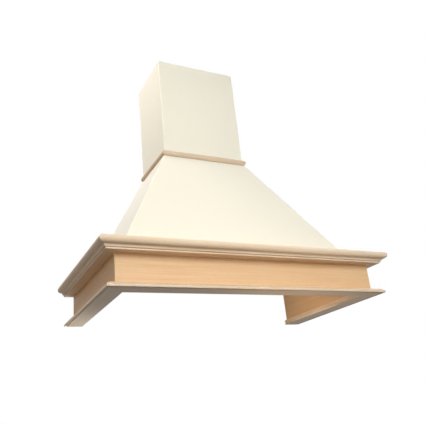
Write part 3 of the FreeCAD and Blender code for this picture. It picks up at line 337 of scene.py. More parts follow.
def shade(colour, amount):
    """A colour made darker or lighter."""
    return tuple(min(1.0, v * amount) for v in colour)


def beech(name, axis, seed, light, dark):
    """Lacquered beech with its grain along one axis: soft bands, fine fibres and short dark flecks."""
    wood = settings("wood")
    finish = Finish(name)
    shift = (seed * 1.7, seed * 2.9, seed * 0.8)

    def grain(along, across):
        return finish.mapped(tuple(along if i == axis else across for i in range(3)), shift)

    across = 1 / wood.figure
    bands = finish.noise(grain(across / 28, across), detail=4, roughness=0.55, distortion=0.35)
    drift = finish.noise(grain(1.8, 6.5), detail=2)
    streaks = finish.noise(grain(5, 240), detail=3, roughness=0.6)
    fibres = finish.noise(grain(22, 900), detail=3, roughness=0.6)
    flecks = finish.noise(grain(150, 1500), detail=1)
    body = finish.ramp(bands, (0.30, light), (0.55, shade(light, 0.97)), (0.80, dark))
    body = finish.mix(finish.ramp(drift, (0.35, 0.0), (0.75, 0.30)), body, dark)
    body = finish.mix(finish.ramp(streaks, (0.42, 0.0), (0.72, 0.55)), body, dark)
    body = finish.mix(finish.ramp(fibres, (0.40, 0.0), (0.78, 0.30)), body, dark)
    marks = finish.ramp(flecks, (0.66, 0.0), (0.74, 0.55))
    body = finish.mix(marks, body, wood.fleck)
    finish.bump(fibres, 0.00012)
    finish.bump(marks, -0.00015, strength=0.6)
    return finish.coat(Base_Color=body, Roughness=finish.span(bands, 0.46, 0.6), Specular_IOR_Level=0.32,
                       Coat_Weight=0.06, Coat_Roughness=0.34)


def cream_paint(name):
    """Stove-enamelled steel: a faint orange peel and a slight drift of tone."""
    sheet = settings("sheet")
    finish = Finish(name)
    drift = finish.noise(finish.mapped((3, 3, 2)), detail=2)
    peel = finish.noise(finish.mapped((1, 1, 1)), detail=2, scale=520)
    body = finish.mix(drift, sheet.cream, shade(sheet.cream, 0.95))
    finish.bump(peel, 0.00006, strength=0.6)
    return finish.coat(Base_Color=body, Roughness=finish.span(peel, 0.34, 0.46), Coat_Weight=0.2,
                       Coat_Roughness=0.22)


def spangled_zinc(name):
    """Galvanised steel with its grey crystals."""
    sheet = settings("sheet")
    finish = Finish(name)
    crystals = finish.cells(finish.mapped((1, 1, 1.3)), 95)
    stain = finish.noise(finish.mapped((7, 7, 7)), detail=4, roughness=0.6)
    body = finish.mix(finish.span(crystals, 0.0, 0.55), sheet.zinc, shade(sheet.zinc, 0.66))
    body = finish.mix(finish.ramp(stain, (0.45, 0.0), (0.8, 0.35)), body, shade(sheet.zinc, 0.55))
    finish.bump(crystals, 0.00003)
    return finish.coat(Base_Color=body, Metallic=0.85, Roughness=finish.span(crystals, 0.34, 0.55))


def brushed_metal(name, colour, roughness):
    """Metal brushed along X."""
    finish = Finish(name)
    lines = finish.noise(finish.mapped((9, 1600, 1600)), detail=3, roughness=0.6)
    haze = finish.noise(finish.mapped((11, 11, 11)), detail=3)
    body = finish.mix(lines, shade(colour, 0.88), shade(colour, 1.06))
    body = finish.mix(finish.ramp(haze, (0.4, 0.0), (0.8, 0.18)), body, shade(colour, 0.7))
    finish.bump(lines, 0.00003)
    rough = finish.span(lines, roughness - 0.06, roughness + 0.1)
    return finish.coat(Base_Color=body, Metallic=1.0, Roughness=rough, Anisotropic=0.4)


def bright_metal(name, colour, roughness):
    """Plated metal with faint handling marks."""
    finish = Finish(name)
    marks = finish.noise(finish.mapped((60, 60, 60)), detail=5, roughness=0.65)
    body = finish.mix(finish.ramp(marks, (0.45, 0.0), (0.75, 0.25)), colour, shade(colour, 0.72))
    finish.bump(marks, 0.00002, strength=0.4)
    rough = finish.span(marks, roughness, roughness + 0.14)
    return finish.coat(Base_Color=body, Metallic=1.0, Roughness=rough)


def moulded_plastic(name, colour, roughness, grain):
    """Moulded plastic with a fine spark-eroded grain."""
    finish = Finish(name)
    pebble = finish.cells(finish.mapped((1, 1, 1)), grain, "Distance")
    cloud = finish.noise(finish.mapped((14, 14, 14)), detail=3)
    body = finish.mix(cloud, shade(colour, 0.9), shade(colour, 1.12))
    finish.bump(pebble, 0.00006)
    return finish.coat(Base_Color=body, Roughness=finish.span(cloud, roughness, roughness + 0.12))


def frosted_glass(name):
    """Pressed glass, frosted on its inner face."""
    finish = Finish(name)
    frost = finish.noise(finish.mapped((1, 1, 1)), detail=2, roughness=0.6, scale=1400)
    drift = finish.noise(finish.mapped((40, 40, 40)), detail=2)
    colour = settings("plastic").glass
    body = finish.mix(drift, colour, shade(colour, 0.94))
    finish.bump(frost, 0.00005)
    return finish.coat(Base_Color=body, Roughness=finish.span(frost, 0.28, 0.5), Transmission_Weight=0.4,
                       IOR=1.47)


FINISHES = {}


def finish_of(name):
    """A finish by its name, made the first time it is asked for."""
    wood, sheet, plastic = settings("wood"), settings("sheet"), settings("plastic")
    # Each plain finish's maker, then its colour, roughness and fineness of grain where it has them
    makers = {
        "cream_paint": (cream_paint,),
        "spangled_zinc": (spangled_zinc,),
        "brushed_panel": (brushed_metal, sheet.steel, 0.3),
        "filter_rail": (brushed_metal, sheet.aluminium, 0.34),
        "filter_strand": (bright_metal, sheet.aluminium, 0.3),
        "bright_steel": (bright_metal, sheet.chrome, 0.2),
        "screw_steel": (bright_metal, sheet.screw, 0.3),
        "motor_steel": (brushed_metal, sheet.motor, 0.42),
        "black_plastic": (moulded_plastic, plastic.black, 0.42, 1500),
        "button_plastic": (moulded_plastic, plastic.button, 0.36, 1900),
        "white_plastic": (moulded_plastic, plastic.white, 0.4, 1500),
        "frosted_glass": (frosted_glass,),
    }
    if name not in FINISHES:
        if name.startswith("beech"):
            _, member, axis = name.split("_")
            light, dark = wood.light, wood.dark
            if member in PALE_MEMBERS:
                light, dark = wood.pale_light, wood.pale_dark
            if member == "trim":
                light, dark = shade(light, wood.trim_shade), shade(dark, wood.trim_shade)
            FINISHES[name] = beech(name, "xyz".index(axis), MEMBERS.index(member) + 1, light, dark)
        else:
            maker, *values = makers[name]
            FINISHES[name] = maker(name, *values)
    return FINISHES[name]


def dress(finish, *nodes):
    """Gives solids that keep their shape a finish."""
    for node in nodes:
        mesh = frame["nodes"][node].data
        mesh.materials.clear()
        mesh.materials.append(finish_of(finish))


def new_piece(name, bm, body, finish, nodes, smooth=50):
    """Makes a piece of a mesh, smooth below an angle in degrees, on its body and in place of solids."""
    mesh = bpy.data.meshes.new(name)
    bm.to_mesh(mesh)
    bm.free()
    mesh.shade_smooth()
    mesh.set_sharp_from_angle(angle=math.radians(smooth))
    mesh.materials.append(finish_of(finish))
    piece = bpy.data.objects.new(name, mesh)
    bpy.context.scene.collection.objects.link(piece)
    normals = piece.modifiers.new("flat_faces", "WEIGHTED_NORMAL")
    normals.keep_sharp, normals.weight = True, 100
    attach(piece, body)
    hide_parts(*nodes)


def verts_of(result, key="geom"):
    """The vertices in an operator's result."""
    return [part for part in result[key] if isinstance(part, BMVert)]


def edges_of(result, key="geom"):
    """The edges in an operator's result."""
    return [part for part in result[key] if isinstance(part, BMEdge)]


def edges_at(verts):
    """The edges at some vertices, each once."""
    return list(dict.fromkeys(edge for vert in verts for edge in vert.link_edges))


def verts_at(parts):
    """The vertices of some edges or faces, each once."""
    return list(dict.fromkeys(vert for part in parts for vert in part.verts))


def all_of(bm):
    """Every vertex, edge and face of a mesh."""
    return bm.verts[:] + bm.edges[:] + bm.faces[:]


def turn_out(bm):
    """Joins doubled points and turns every face outwards."""
    bmesh.ops.remove_doubles(bm, verts=bm.verts[:], dist=SAME)
    bmesh.ops.recalc_face_normals(bm, faces=bm.faces[:])


def draw_out_face(bm, face, along):
    """Makes a solid of a flat face: a copy closes its near end, and the face itself goes to the far end."""
    bmesh.ops.duplicate(bm, geom=face)
    far = bmesh.ops.extrude_discrete_faces(bm, faces=face)["faces"]
    bmesh.ops.translate(bm, verts=verts_at(far), vec=along)
    turn_out(bm)


def round_edges(bm, radius, least=25, segments=3):
    """Rounds the edges at which two faces meet at more than the least angle in degrees."""
    sharp = [e for e in bm.edges if len(e.link_faces) == 2 and e.calc_face_angle(0) > math.radians(least)]
    bmesh.ops.bevel(bm, geom=sharp, offset=radius, offset_type="OFFSET", segments=segments, profile=0.5,
                    affect="EDGES", clamp_overlap=True, material=-1)


def soften(finish, slot, *nodes, radius):
    """Stands in for solids with copies whose flat faces are whole and whose sharp edges are rounded."""
    for node in nodes:
        solid = frame["nodes"][node]
        bm = bmesh.new()
        bm.from_mesh(solid.data)
        bmesh.ops.remove_doubles(bm, verts=bm.verts[:], dist=SAME)
        bmesh.ops.dissolve_limit(bm, angle_limit=math.radians(0.5), verts=bm.verts[:], edges=bm.edges[:])
        round_edges(bm, radius, least=30, segments=2)
        new_piece(f"{node}_rounded", bm, solid["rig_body"], finish, [node])


def line_to(bm, last, y, z):
    """Carries an outline on to a point in its own upright plane."""
    new = bmesh.ops.extrude_vert_indiv(bm, verts=[last])["verts"][0]
    bmesh.ops.translate(bm, verts=[new], vec=Vector((last.co.x, y, z)) - new.co)
    return new


def arc_to(bm, last, y, z, radius, way=1):
    """Carries an outline on along an arc that bends to its left, or to its right where the way is -1."""
    start, end = last.co.copy(), Vector((last.co.x, y, z))
    half = (end - start) / 2
    across = X.cross(half).normalized() * way
    centre = start + half + across * math.sqrt(max(0.0, radius ** 2 - half.length_squared))
    angle = 2 * math.asin(min(1.0, half.length / radius)) * way
    arc = bmesh.ops.spin(bm, geom=[last], cent=centre, axis=X, dvec=(0, 0, 0), angle=angle, steps=ARC_STEPS,
                         use_merge=False, use_normal_flip=False, use_duplicate=False)
    return verts_of(arc, "geom_last")[0]


def nosing(depth, rise):
    """Radius of the arc that starts upright and ends after a depth and a rise."""
    return (depth ** 2 + rise ** 2) / (2 * depth)


def crown_outline(bm, start, depth, low, high):
    """Crown: a full nose, a quirk, a hollow, a fillet and the rebate that sits on the fascia."""
    wood = settings("wood")
    widest = high - wood.crown_shoulder
    quirk = widest - wood.crown_belly
    fillet = quirk - wood.crown_hollow_drop
    hollow_start = wood.crown_return + wood.crown_quirk
    hollow_end = hollow_start + wood.crown_hollow_depth
    ledge = hollow_end + wood.crown_fillet
    crown_low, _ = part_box("front_crown_moulding")
    fascia_low, fascia_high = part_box("front_fascia_board")
    seat = fascia_low.y - crown_low.y
    last = first = bm.verts.new((start, depth, high))
    last = line_to(bm, last, wood.crown_lip, high)
    last = arc_to(bm, last, 0, widest, nosing(wood.crown_lip, wood.crown_shoulder))
    last = arc_to(bm, last, wood.crown_return, quirk, nosing(wood.crown_return, wood.crown_belly))
    last = line_to(bm, last, hollow_start, quirk)
    chord = math.hypot(wood.crown_hollow_depth, wood.crown_hollow_drop)
    last = arc_to(bm, last, hollow_end, fillet, chord * math.sqrt(0.5), -1)
    for y, z in ((ledge, fillet), (ledge, low), (seat, low), (seat, fascia_high.z), (depth, fascia_high.z)):
        last = line_to(bm, last, y, z)
    return last, first


def fascia_outline(bm, start, depth, low, high):
    """Fascia: a plain board."""
    last = first = bm.verts.new((start, 0, low))
    for y, z in ((depth, low), (depth, high), (0, high)):
        last = line_to(bm, last, y, z)
    return last, first


def base_outline(bm, start, depth, low, high):
    """Base: a board whose top falls in a shallow round to a thin upright edge, with a groove under it."""
    wood = settings("wood")
    last = first = bm.verts.new((start, 0, low))
    lip, quirk, roof = wood.base_lip, wood.base_quirk, low + wood.base_quirk_depth
    # The groove's front wall is steep and its rear wall slopes
    roof_front, roof_rear = lip + quirk * 0.1, lip + quirk * 0.75
    for y, z in ((lip, low), (roof_front, roof), (roof_rear, roof), (lip + quirk, low), (depth, low),
                 (depth, high), (wood.base_thumb, high)):
        last = line_to(bm, last, y, z)
    rise = high - low - wood.base_edge
    return arc_to(bm, last, 0, low + wood.base_edge, nosing(rise, wood.base_thumb)), first


def trim_outline(bm, start, depth, low, high):
    """Trim: a half round of two arcs against the flue, which closes its own outline."""
    middle = (low + high) / 2
    last = first = bm.verts.new((start, depth, low))
    last = line_to(bm, last, depth, high)
    last = arc_to(bm, last, 0, middle, nosing(depth, high - middle))
    last = arc_to(bm, last, depth, low, nosing(depth, middle - low))
    bmesh.ops.remove_doubles(bm, verts=[last, first], dist=SAME)
    return None, None


def moulding_run(outline, depth, low, high, start, end):
    """A straight length of moulding along X with its outer line at y = 0."""
    bm = bmesh.new()
    last, first = outline(bm, start, depth, low, high)
    if last is not None:
        bm.edges.new((last, first))
    face = bmesh.ops.contextual_create(bm, geom=bm.edges[:])["faces"]
    draw_out_face(bm, face, X * (end - start))
    return bm


def mitre(bm, point, outward):
    """Saws off what lies outward of a plane and closes the cut."""
    cut = bmesh.ops.bisect_plane(bm, geom=all_of(bm), dist=ON_CUT, plane_co=point, plane_no=outward,
                                 clear_outer=True)
    bmesh.ops.contextual_create(bm, geom=edges_of(cut, "geom_cut"))


def mitred_frame(kind, member, outline):
    """Three lengths of one moulding, mitred at the two front corners and square at the wall."""
    front_low, front_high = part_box(f"front_{kind}")
    half, front, depth = front_high.x, front_low.y, front_high.y - front_low.y
    low, high = front_low.z, front_high.z
    # Length past each front corner that the mitre saws off
    spare = 0.03
    quarter = Matrix.Rotation(-math.pi / 2, 3, "Z")
    for place in ("front", *SIDES):
        if place == "front":
            bm = moulding_run(outline, depth, low, high, -half - spare, half + spare)
            bmesh.ops.translate(bm, verts=bm.verts[:], vec=Y * front)
            mitre(bm, (half, front, 0), (1, 1, 0))
            mitre(bm, (-half, front, 0), (-1, 1, 0))
        else:
            bm = moulding_run(outline, depth, low, high, -WALL, spare - front)
            bmesh.ops.rotate(bm, verts=bm.verts[:], cent=(0, 0, 0), matrix=quarter)
            bmesh.ops.translate(bm, verts=bm.verts[:], vec=X * -half)
            mitre(bm, (-half, front, 0), (1, -1, 0))
            bmesh.ops.scale(bm, verts=bm.verts[:], vec=(-SIDES[place], 1, 1))
        turn_out(bm)
        round_edges(bm, settings("wood").arris)
        axis = "x" if place == "front" else "y"
        new_piece(f"{place}_{kind}_wood", bm, "hood", f"beech_{member}_{axis}",
                  [f"{place}_{kind}"])


class HOOD_OT_surround(bpy.types.Operator):
    """Wooden surround: crown, fascia and base mouldings with their corner blocks"""
    bl_idname = "hood.surround"
    bl_label = "Wooden surround"

    def execute(self, context):
        mitred_frame("crown_moulding", "crown", crown_outline)
        mitred_frame("fascia_board", "fascia", fascia_outline)
        mitred_frame("base_moulding", "base", base_outline)
        for place, side in SIDES.items():
            low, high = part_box(f"{place}_corner_block")
            corner, reach = (low.x, high.x) if side < 0 else (high.x, low.x)
            bm = bmesh.new()
            corners = [bm.verts.new(p) for p in ((corner, low.y, low.z), (reach, low.y, low.z),
                                                 (corner, high.y, low.z))]
            face = bmesh.ops.contextual_create(bm, geom=corners)["faces"]
            draw_out_face(bm, face, Z * (high.z - low.z))
            round_edges(bm, settings("wood").block_round)
            new_piece(f"{place}_glue_block", bm, "hood", "beech_block_z",
                      [f"{place}_corner_block"])
        return {"FINISHED"}


class HOOD_OT_trim(bpy.types.Operator):
    """Half-round wooden trim round the foot of the flue"""
    bl_idname = "hood.trim"
    bl_label = "Flue trim"

    def execute(self, context):
        mitred_frame("trim", "trim", trim_outline)
        return {"FINISHED"}


def folded_sheet(name, rows, body, node):
    """Painted sheet on three sides: rows of corners drawn out one to the next, folds rounded, thickened."""
    sheet = settings("sheet")
    bm = bmesh.new()
    corners = [bm.verts.new(p) for p in rows[0]]
    line = [bm.edges.new(pair) for pair in zip(corners, corners[1:])]
    for row in rows[1:]:
        drawn = bmesh.ops.extrude_edge_only(bm, edges=line)
        new = verts_of(drawn)
        line = edges_of(drawn)
        for old, point in zip(corners, row):
            twin = min(new, key=lambda v: (v.co - old.co).length)
            new.remove(twin)
            bmesh.ops.translate(bm, verts=[twin], vec=Vector(point) - twin.co)
            corners[corners.index(old)] = twin
        line = [e for e in line if all(v in corners for v in e.verts)]
    bmesh.ops.recalc_face_normals(bm, faces=bm.faces[:])
    round_edges(bm, sheet.fold, least=10, segments=4)
    front = min(bm.faces, key=lambda f: f.calc_center_median().y)
    if front.normal.y > 0:
        bmesh.ops.reverse_faces(bm, faces=bm.faces[:])
    bmesh.ops.solidify(bm, geom=bm.faces[:], thickness=sheet.thickness)
    new_piece(name, bm, body, "cream_paint", [node])


def row_of_corners(half, front, level):
    """The four corners of a sheet on three sides, from the wall on the left to the wall on the right."""
    return [(-half, WALL, level), (-half, front, level), (half, front, level), (half, WALL, level)]


class HOOD_OT_canopy(bpy.types.Operator):
    """Pyramid canopy of painted sheet steel and the galvanised plate behind it"""
    bl_idname = "hood.canopy"
    bl_label = "Canopy"

    def execute(self, context):
        sheet = settings("sheet")
        low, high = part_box("canopy_shell")
        foot, top = sheet.foot_flange, sheet.top_flange
        rows = [row_of_corners(high.x - foot, low.y + foot, low.z),
                row_of_corners(high.x, low.y, low.z),
                row_of_corners(sheet.top_half, sheet.top_front, high.z),
                row_of_corners(sheet.top_half - top, sheet.top_front + top, high.z)]
        folded_sheet("canopy_sheet", rows, "hood", "canopy_shell")
        self.stamp_plate(sheet, low.z + sheet.thickness, high.z - sheet.thickness)
        return {"FINISHED"}

    def stamp_plate(self, sheet, foot, top):
        """Plate with its wall holes, tongues and four stiffening beads pressed away from the wall."""
        low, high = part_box("back_plate")
        crown_low, crown_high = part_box("front_crown_moulding")
        tongue = SIDE - (crown_high.y - crown_low.y) - sheet.play
        neck = sheet.top_half - sheet.thickness - sheet.play
        cap = sheet.top_half - sheet.top_flange - sheet.play
        half = [(tongue, low.z), (tongue, foot), (high.x, foot), (neck, top), (cap, top), (cap, high.z)]
        bm = bmesh.new()
        rim = [bm.verts.new((x, WALL, z)) for x, z in half + [(-x, z) for x, z in reversed(half)]]
        for pair in zip(rim, rim[1:] + rim[:1]):
            bm.edges.new(pair)
        upright = Matrix.Rotation(math.pi / 2, 4, "X")
        pattern = next(mount for mount in frame["record"]["mounts"] if mount["name"] == "wall_fixings")
        middle, dims = Vector(pattern["pos_m"]), pattern["dims"]
        beads = []
        for side in SIDES.values():
            for lift in (-1, 1):
                hole = middle + Vector((side * dims["spacing_x_mm"], 0, lift * dims["spacing_y_mm"])) / 2000
                bmesh.ops.create_circle(bm, segments=24, radius=dims["hole_r_mm"] / 1000,
                                        matrix=Matrix.Translation(hole) @ upright)
            for x, z, tall in BEADS:
                at = Vector((side * x, WALL, z))
                ring = bmesh.ops.create_circle(bm, segments=24, radius=sheet.bead,
                                               matrix=Matrix.Translation(at) @ upright)["verts"]
                bmesh.ops.translate(bm, verts=[v for v in ring if v.co.z > z + LEVEL], vec=Z * tall)
                beads.append((at + Z * tall / 2, tall, edges_at(ring)))
        bmesh.ops.triangle_fill(bm, use_beauty=True, use_dissolve=False, edges=bm.edges[:], normal=Y)
        for at, tall, ring in beads:
            pressed = bmesh.ops.extrude_edge_only(bm, edges=ring)
            floor = [e for e in edges_of(pressed) if len(e.link_faces) == 1]
            inner = verts_at(floor)
            shorten = (tall + sheet.bead) / (tall + 2 * sheet.bead)
            bmesh.ops.translate(bm, verts=inner, vec=-Y * sheet.bead * BEAD_PRESS)
            bmesh.ops.scale(bm, verts=inner, vec=(BEAD_FLOOR, 1, shorten), space=Matrix.Translation(-at))
            bmesh.ops.contextual_create(bm, geom=floor)
        turn_out(bm)
        if max(bm.faces, key=lambda f: f.calc_area()).normal.y < 0:
            bmesh.ops.reverse_faces(bm, faces=bm.faces[:])
        bmesh.ops.solidify(bm, geom=bm.faces[:], thickness=high.y - low.y)
        new_piece("back_plate_sheet", bm, "hood", "spangled_zinc", ["back_plate"], smooth=12)


class HOOD_OT_flue(bpy.types.Operator):
    """Fixed flue cover, the cover that slides in it and the wall bracket"""
    bl_idname = "hood.flue"
    bl_label = "Flue covers"

    def execute(self, context):
        for node, body in (("lower_flue_cover", "hood"), ("upper_flue_cover", "upper_flue")):
            low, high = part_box(node)
            rows = [row_of_corners(high.x, low.y, level) for level in (low.z, high.z)]
            folded_sheet(f"{node}_sheet", rows, body, node)
        soften("spangled_zinc", "zinc_steel", "flue_bracket", radius=0.0006)
        return {"FINISHED"}


class HOOD_OT_outlet(bpy.types.Operator):
    """Plate, collar, pin and back-draught flaps of the outlet"""
    bl_idname = "hood.outlet"
    bl_label = "Outlet"

    def execute(self, context):
        soften("spangled_zinc", "zinc_steel", "blower_mount_plate", radius=0.0004)
        soften("black_plastic", "black_plastic", "outlet_collar", "left_flap", "right_flap", radius=0.0005)
        dress("screw_steel", "flap_pin")
        return {"FINISHED"}


class HOOD_OT_blower(bpy.types.Operator):
    """Scroll casing, impeller, motor and capacitor"""
    bl_idname = "hood.blower"
    bl_label = "Blower"

    def execute(self, context):
        soften("black_plastic", "black_plastic", "left_scroll_half", "right_scroll_half", radius=0.0005)
        dress("black_plastic", "impeller")
        soften("motor_steel", "motor_steel", "motor", radius=0.001)
        soften("spangled_zinc", "zinc_steel", "motor_spider", radius=0.0005)
        dress("screw_steel", "motor_shaft")
        soften("white_plastic", "white_plastic", "capacitor", radius=0.001)
        return {"FINISHED"}


class HOOD_OT_terminals(bpy.types.Operator):
    """Terminal box, its lid and the cable gland"""
    bl_idname = "hood.terminals"
    bl_label = "Terminal box"

    def execute(self, context):
        soften("white_plastic", "white_plastic", "terminal_box", "terminal_lid", radius=0.0008)
        soften("black_plastic", "black_plastic", "cable_gland", radius=0.0004)
        return {"FINISHED"}


class HOOD_OT_panel(bpy.types.Operator):
    """Brushed steel suction panel under the canopy"""
    bl_idname = "hood.panel"
    bl_label = "Suction panel"

    def execute(self, context):
        soften("brushed_panel", "panel_steel", "suction_panel", radius=0.0003)
        return {"FINISHED"}


def diamond_mesh(bm, low, high, level, long_way, short_way, strand):
    """One layer of expanded metal: a turned grid, trimmed, its diamonds opened and its strands thickened."""
    middle, reach = (low + high) / 2, max(high.x - low.x, high.y - low.y)
    count = int(2 * reach / short_way)
    verts = bmesh.ops.create_grid(bm, x_segments=count, y_segments=count, size=0.5)["verts"]
    diagonal = math.sqrt(2) / count
    bmesh.ops.rotate(bm, verts=verts, cent=(0, 0, 0), matrix=Matrix.Rotation(math.pi / 4, 3, "Z"))
    bmesh.ops.scale(bm, verts=verts, vec=(long_way / diagonal, short_way / diagonal, 1))
    bmesh.ops.translate(bm, verts=verts, vec=(middle.x, middle.y, level))
    for point, outward in ((low, -X), (high, X), (low, -Y), (high, Y)):
        bmesh.ops.bisect_plane(bm, geom=all_of(bm), dist=ON_CUT, plane_co=point, plane_no=outward,
                               clear_outer=True)
    openings = bm.faces[:]
    bmesh.ops.inset_individual(bm, faces=openings, thickness=strand / 2, depth=0, use_even_offset=True)
    bmesh.ops.delete(bm, geom=openings, context="FACES_ONLY")
    bmesh.ops.solidify(bm, geom=bm.faces[:], thickness=settings("fitting").strand_sheet)


class HOOD_OT_filters(bpy.types.Operator):
    """Grease filter cassettes: rails, layered expanded metal, latch and keeper spring"""
    bl_idname = "hood.filters"
    bl_label = "Grease filters"

    def execute(self, context):
        kit = settings("fitting")
        for place in SIDES:
            soften("filter_rail", "filter_aluminium", f"{place}_filter_frame", radius=0.0007)
            soften("black_plastic", "black_plastic", f"{place}_filter_latch", radius=0.0006)
            dress("screw_steel", f"{place}_keeper_spring")
            low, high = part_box(f"{place}_filter_mesh")
            whole = bmesh.new()
            for layer, size in enumerate(LAYER_SIZES[:kit.layers]):
                level = (high.z - low.z) * (layer + 0.5) / kit.layers + low.z
                bm = bmesh.new()
                diamond_mesh(bm, low, high, level, kit.diamond_long * size, kit.diamond_short * size,
                             kit.strand * size)
                sheet = bpy.data.meshes.new("layer")
                bm.to_mesh(sheet)
                bm.free()
                whole.from_mesh(sheet)
                bpy.data.meshes.remove(sheet)
            new_piece(f"{place}_filter_strands", whole, f"{place}_filter",
                      "filter_strand", [f"{place}_filter_mesh"])
        return {"FINISHED"}


def turned(bm, middle, outline, steps):
    """Turns an outline of (radius, height) points about an upright axis."""
    radius, z = outline[0]
    line = [bm.verts.new((middle.x, middle.y + radius, z))]
    for radius, z in outline[1:]:
        line.append(line_to(bm, line[-1], middle.y + radius, z))
    bmesh.ops.spin(bm, geom=line + edges_at(line), cent=middle, axis=Z, dvec=(0, 0, 0), angle=math.tau,
                   steps=steps, use_merge=True, use_normal_flip=False, use_duplicate=False)


class HOOD_OT_lamps(bpy.types.Operator):
    """Lamp bezels, cups, ribbed frosted glasses and capsule bulbs"""
    bl_idname = "hood.lamps"
    bl_label = "Lamps"

    def execute(self, context):
        kit = settings("fitting")
        bulbs = bmesh.new()
        for place in SIDES:
            dress("bright_steel", f"{place}_lamp_bezel", f"{place}_lamp_cup")
            low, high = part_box(f"{place}_lamp_glass")
            middle, radius = (low + high) / 2, (high.x - low.x) / 2
            pitch = radius / (GLASS_RINGS + 2)
            rings = [(pitch * (GLASS_RINGS - ring), low.z + kit.glass_rib * (ring % 2))
                     for ring in range(GLASS_RINGS)]
            bm = bmesh.new()
            outline = [(0, high.z), (radius, high.z), (radius, low.z), *rings, (0, low.z)]
            turned(bm, middle, outline, steps=64)
            turn_out(bm)
            new_piece(f"{place}_ribbed_glass", bm, "hood", "frosted_glass",
                      [f"{place}_lamp_glass"])
            self.turn_bulb(bulbs, middle)
        turn_out(bulbs)
        new_piece("capsule_bulbs", bulbs, "hood", "frosted_glass", ["lamp_bulbs"])
        return {"FINISHED"}

    def turn_bulb(self, bm, middle):
        """Capsule with a domed tip, a pinched seal and a ringed foot."""
        low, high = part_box("lamp_bulbs")
        radius, tall = (high.y - low.y) / 2, high.z - low.z
        turns = [math.radians(15 * step) for step in range(7)]
        dome = [(radius * math.sin(turn), low.z + radius * (1 - math.cos(turn))) for turn in turns]
        foot = [(radius * across, low.z + tall * up) for across, up in BULB_FOOT]
        turned(bm, middle, dome + foot, steps=32)


class HOOD_OT_controls(bpy.types.Operator):
    """Button plate, switch box and five push buttons"""
    bl_idname = "hood.controls"
    bl_label = "Controls"

    def execute(self, context):
        kit = settings("fitting")
        soften("black_plastic", "black_plastic", "button_plate", "switch_box", radius=0.0008)
        for number in range(1, 6):
            low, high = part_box(f"button_{number}")
            bm = bmesh.new()
            bmesh.ops.create_cube(bm, size=1)
            bmesh.ops.scale(bm, verts=bm.verts[:], vec=high - low)
            bmesh.ops.translate(bm, verts=bm.verts[:], vec=(low + high) / 2)
            round_edges(bm, kit.button_round, segments=4)
            under = [f for f in bm.faces if f.normal.z < -0.99]
            for inset, rise in DISH_RINGS:
                bmesh.ops.inset_region(bm, faces=under, thickness=inset, use_even_offset=True)
                bmesh.ops.translate(bm, verts=verts_at(under), vec=Z * kit.button_dish * rise)
            turn_out(bm)
            new_piece(f"button_{number}_cap", bm, f"push_button_{number}",
                      "button_plastic", [f"button_{number}"])
        return {"FINISHED"}


def cross_screw(bm, middle, seat, low, high, head, shank):
    """Pan-headed screw that points up, with a cross recess in its head."""
    tall = seat - low
    arm, web, deep = head * 0.5, head * 0.15, tall * 0.6
    corners = [(web, web), (web, arm), (-web, arm), (-web, web), (-arm, web), (-arm, -web), (-web, -web),
               (-web, -arm), (web, -arm), (web, -web), (arm, -web), (arm, web)]
    cross = [bm.verts.new((middle.x + x, middle.y + y, low)) for x, y in corners]
    recess = [bm.edges.new(pair) for pair in zip(cross, cross[1:] + cross[:1])]
    rim = bmesh.ops.create_circle(bm, segments=24, radius=head * PAN_FACE,
                                  matrix=Matrix.Translation((middle.x, middle.y, low)))["verts"]
    ring = edges_at(rim)
    bmesh.ops.triangle_fill(bm, use_beauty=True, use_dissolve=False, edges=recess + ring, normal=-Z)
    about = Matrix.Translation((-middle.x, -middle.y, 0))

    def draw_out(edges, level, grow):
        drawn = bmesh.ops.extrude_edge_only(bm, edges=edges)
        verts = verts_of(drawn)
        bmesh.ops.translate(bm, verts=verts, vec=Z * (level - edges[0].verts[0].co.z))
        bmesh.ops.scale(bm, verts=verts, vec=(grow, grow, 1), space=about)
        return [e for e in edges_of(drawn) if all(v in verts for v in e.verts)]

    bmesh.ops.contextual_create(bm, geom=draw_out(recess, low + deep, 0.7))
    rounds = [(low + tall * part, radius) for part, radius in PAN_ROUNDS]
    stem = shank / head
    before = PAN_FACE
    for level, radius in (*rounds, (seat, 1), (seat, stem), (high - shank, stem), (high, SCREW_TIP)):
        ring = draw_out(ring, level, radius / before)
        before = radius
    bmesh.ops.contextual_create(bm, geom=ring)


class HOOD_OT_screws(bpy.types.Operator):
    """Screws of the suction panel and of the blower plate"""
    bl_idname = "hood.screws"
    bl_label = "Screws"

    def execute(self, context):
        for node in ("panel_screws", "blower_screws"):
            copy = bmesh.new()
            copy.from_mesh(frame["nodes"][node].data)
            bmesh.ops.remove_doubles(copy, verts=copy.verts[:], dist=SAME)
            heads = self.find_heads(copy)
            low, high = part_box(node)
            copy.free()
            bm = bmesh.new()
            for middle, seat, head, shank in heads:
                cross_screw(bm, middle, seat, low.z, high.z, head, shank)
            turn_out(bm)
            new_piece(f"cross_{node}", bm, "hood", "screw_steel", [node])
        return {"FINISHED"}

    def find_heads(self, bm):
        """Middle, seat and radii of each screw of a solid, read from its separate islands."""
        heads, left = [], set(bm.verts)
        while left:
            island, edge = set(), [left.pop()]
            while edge:
                vert = edge.pop()
                island.add(vert)
                edge += [v for e in vert.link_edges for v in e.verts if v not in island]
            left -= island
            spans = [(min(v.co[i] for v in island), max(v.co[i] for v in island)) for i in (0, 1)]
            middle = Vector((sum(spans[0]) / 2, sum(spans[1]) / 2, 0))
            head = (spans[0][1] - spans[0][0]) / 2
            rings = [((v.co.xy - middle.xy).length, v.co.z) for v in island]
            # The highest points near the head's full width lie on its seat
            seat = max(z for radius, z in rings if radius > head * 0.9)
            shank = max(radius for radius, z in rings if z > seat + LEVEL)
            heads.append((middle, seat, head, shank))
        return sorted(heads, key=lambda item: tuple(item[0]))


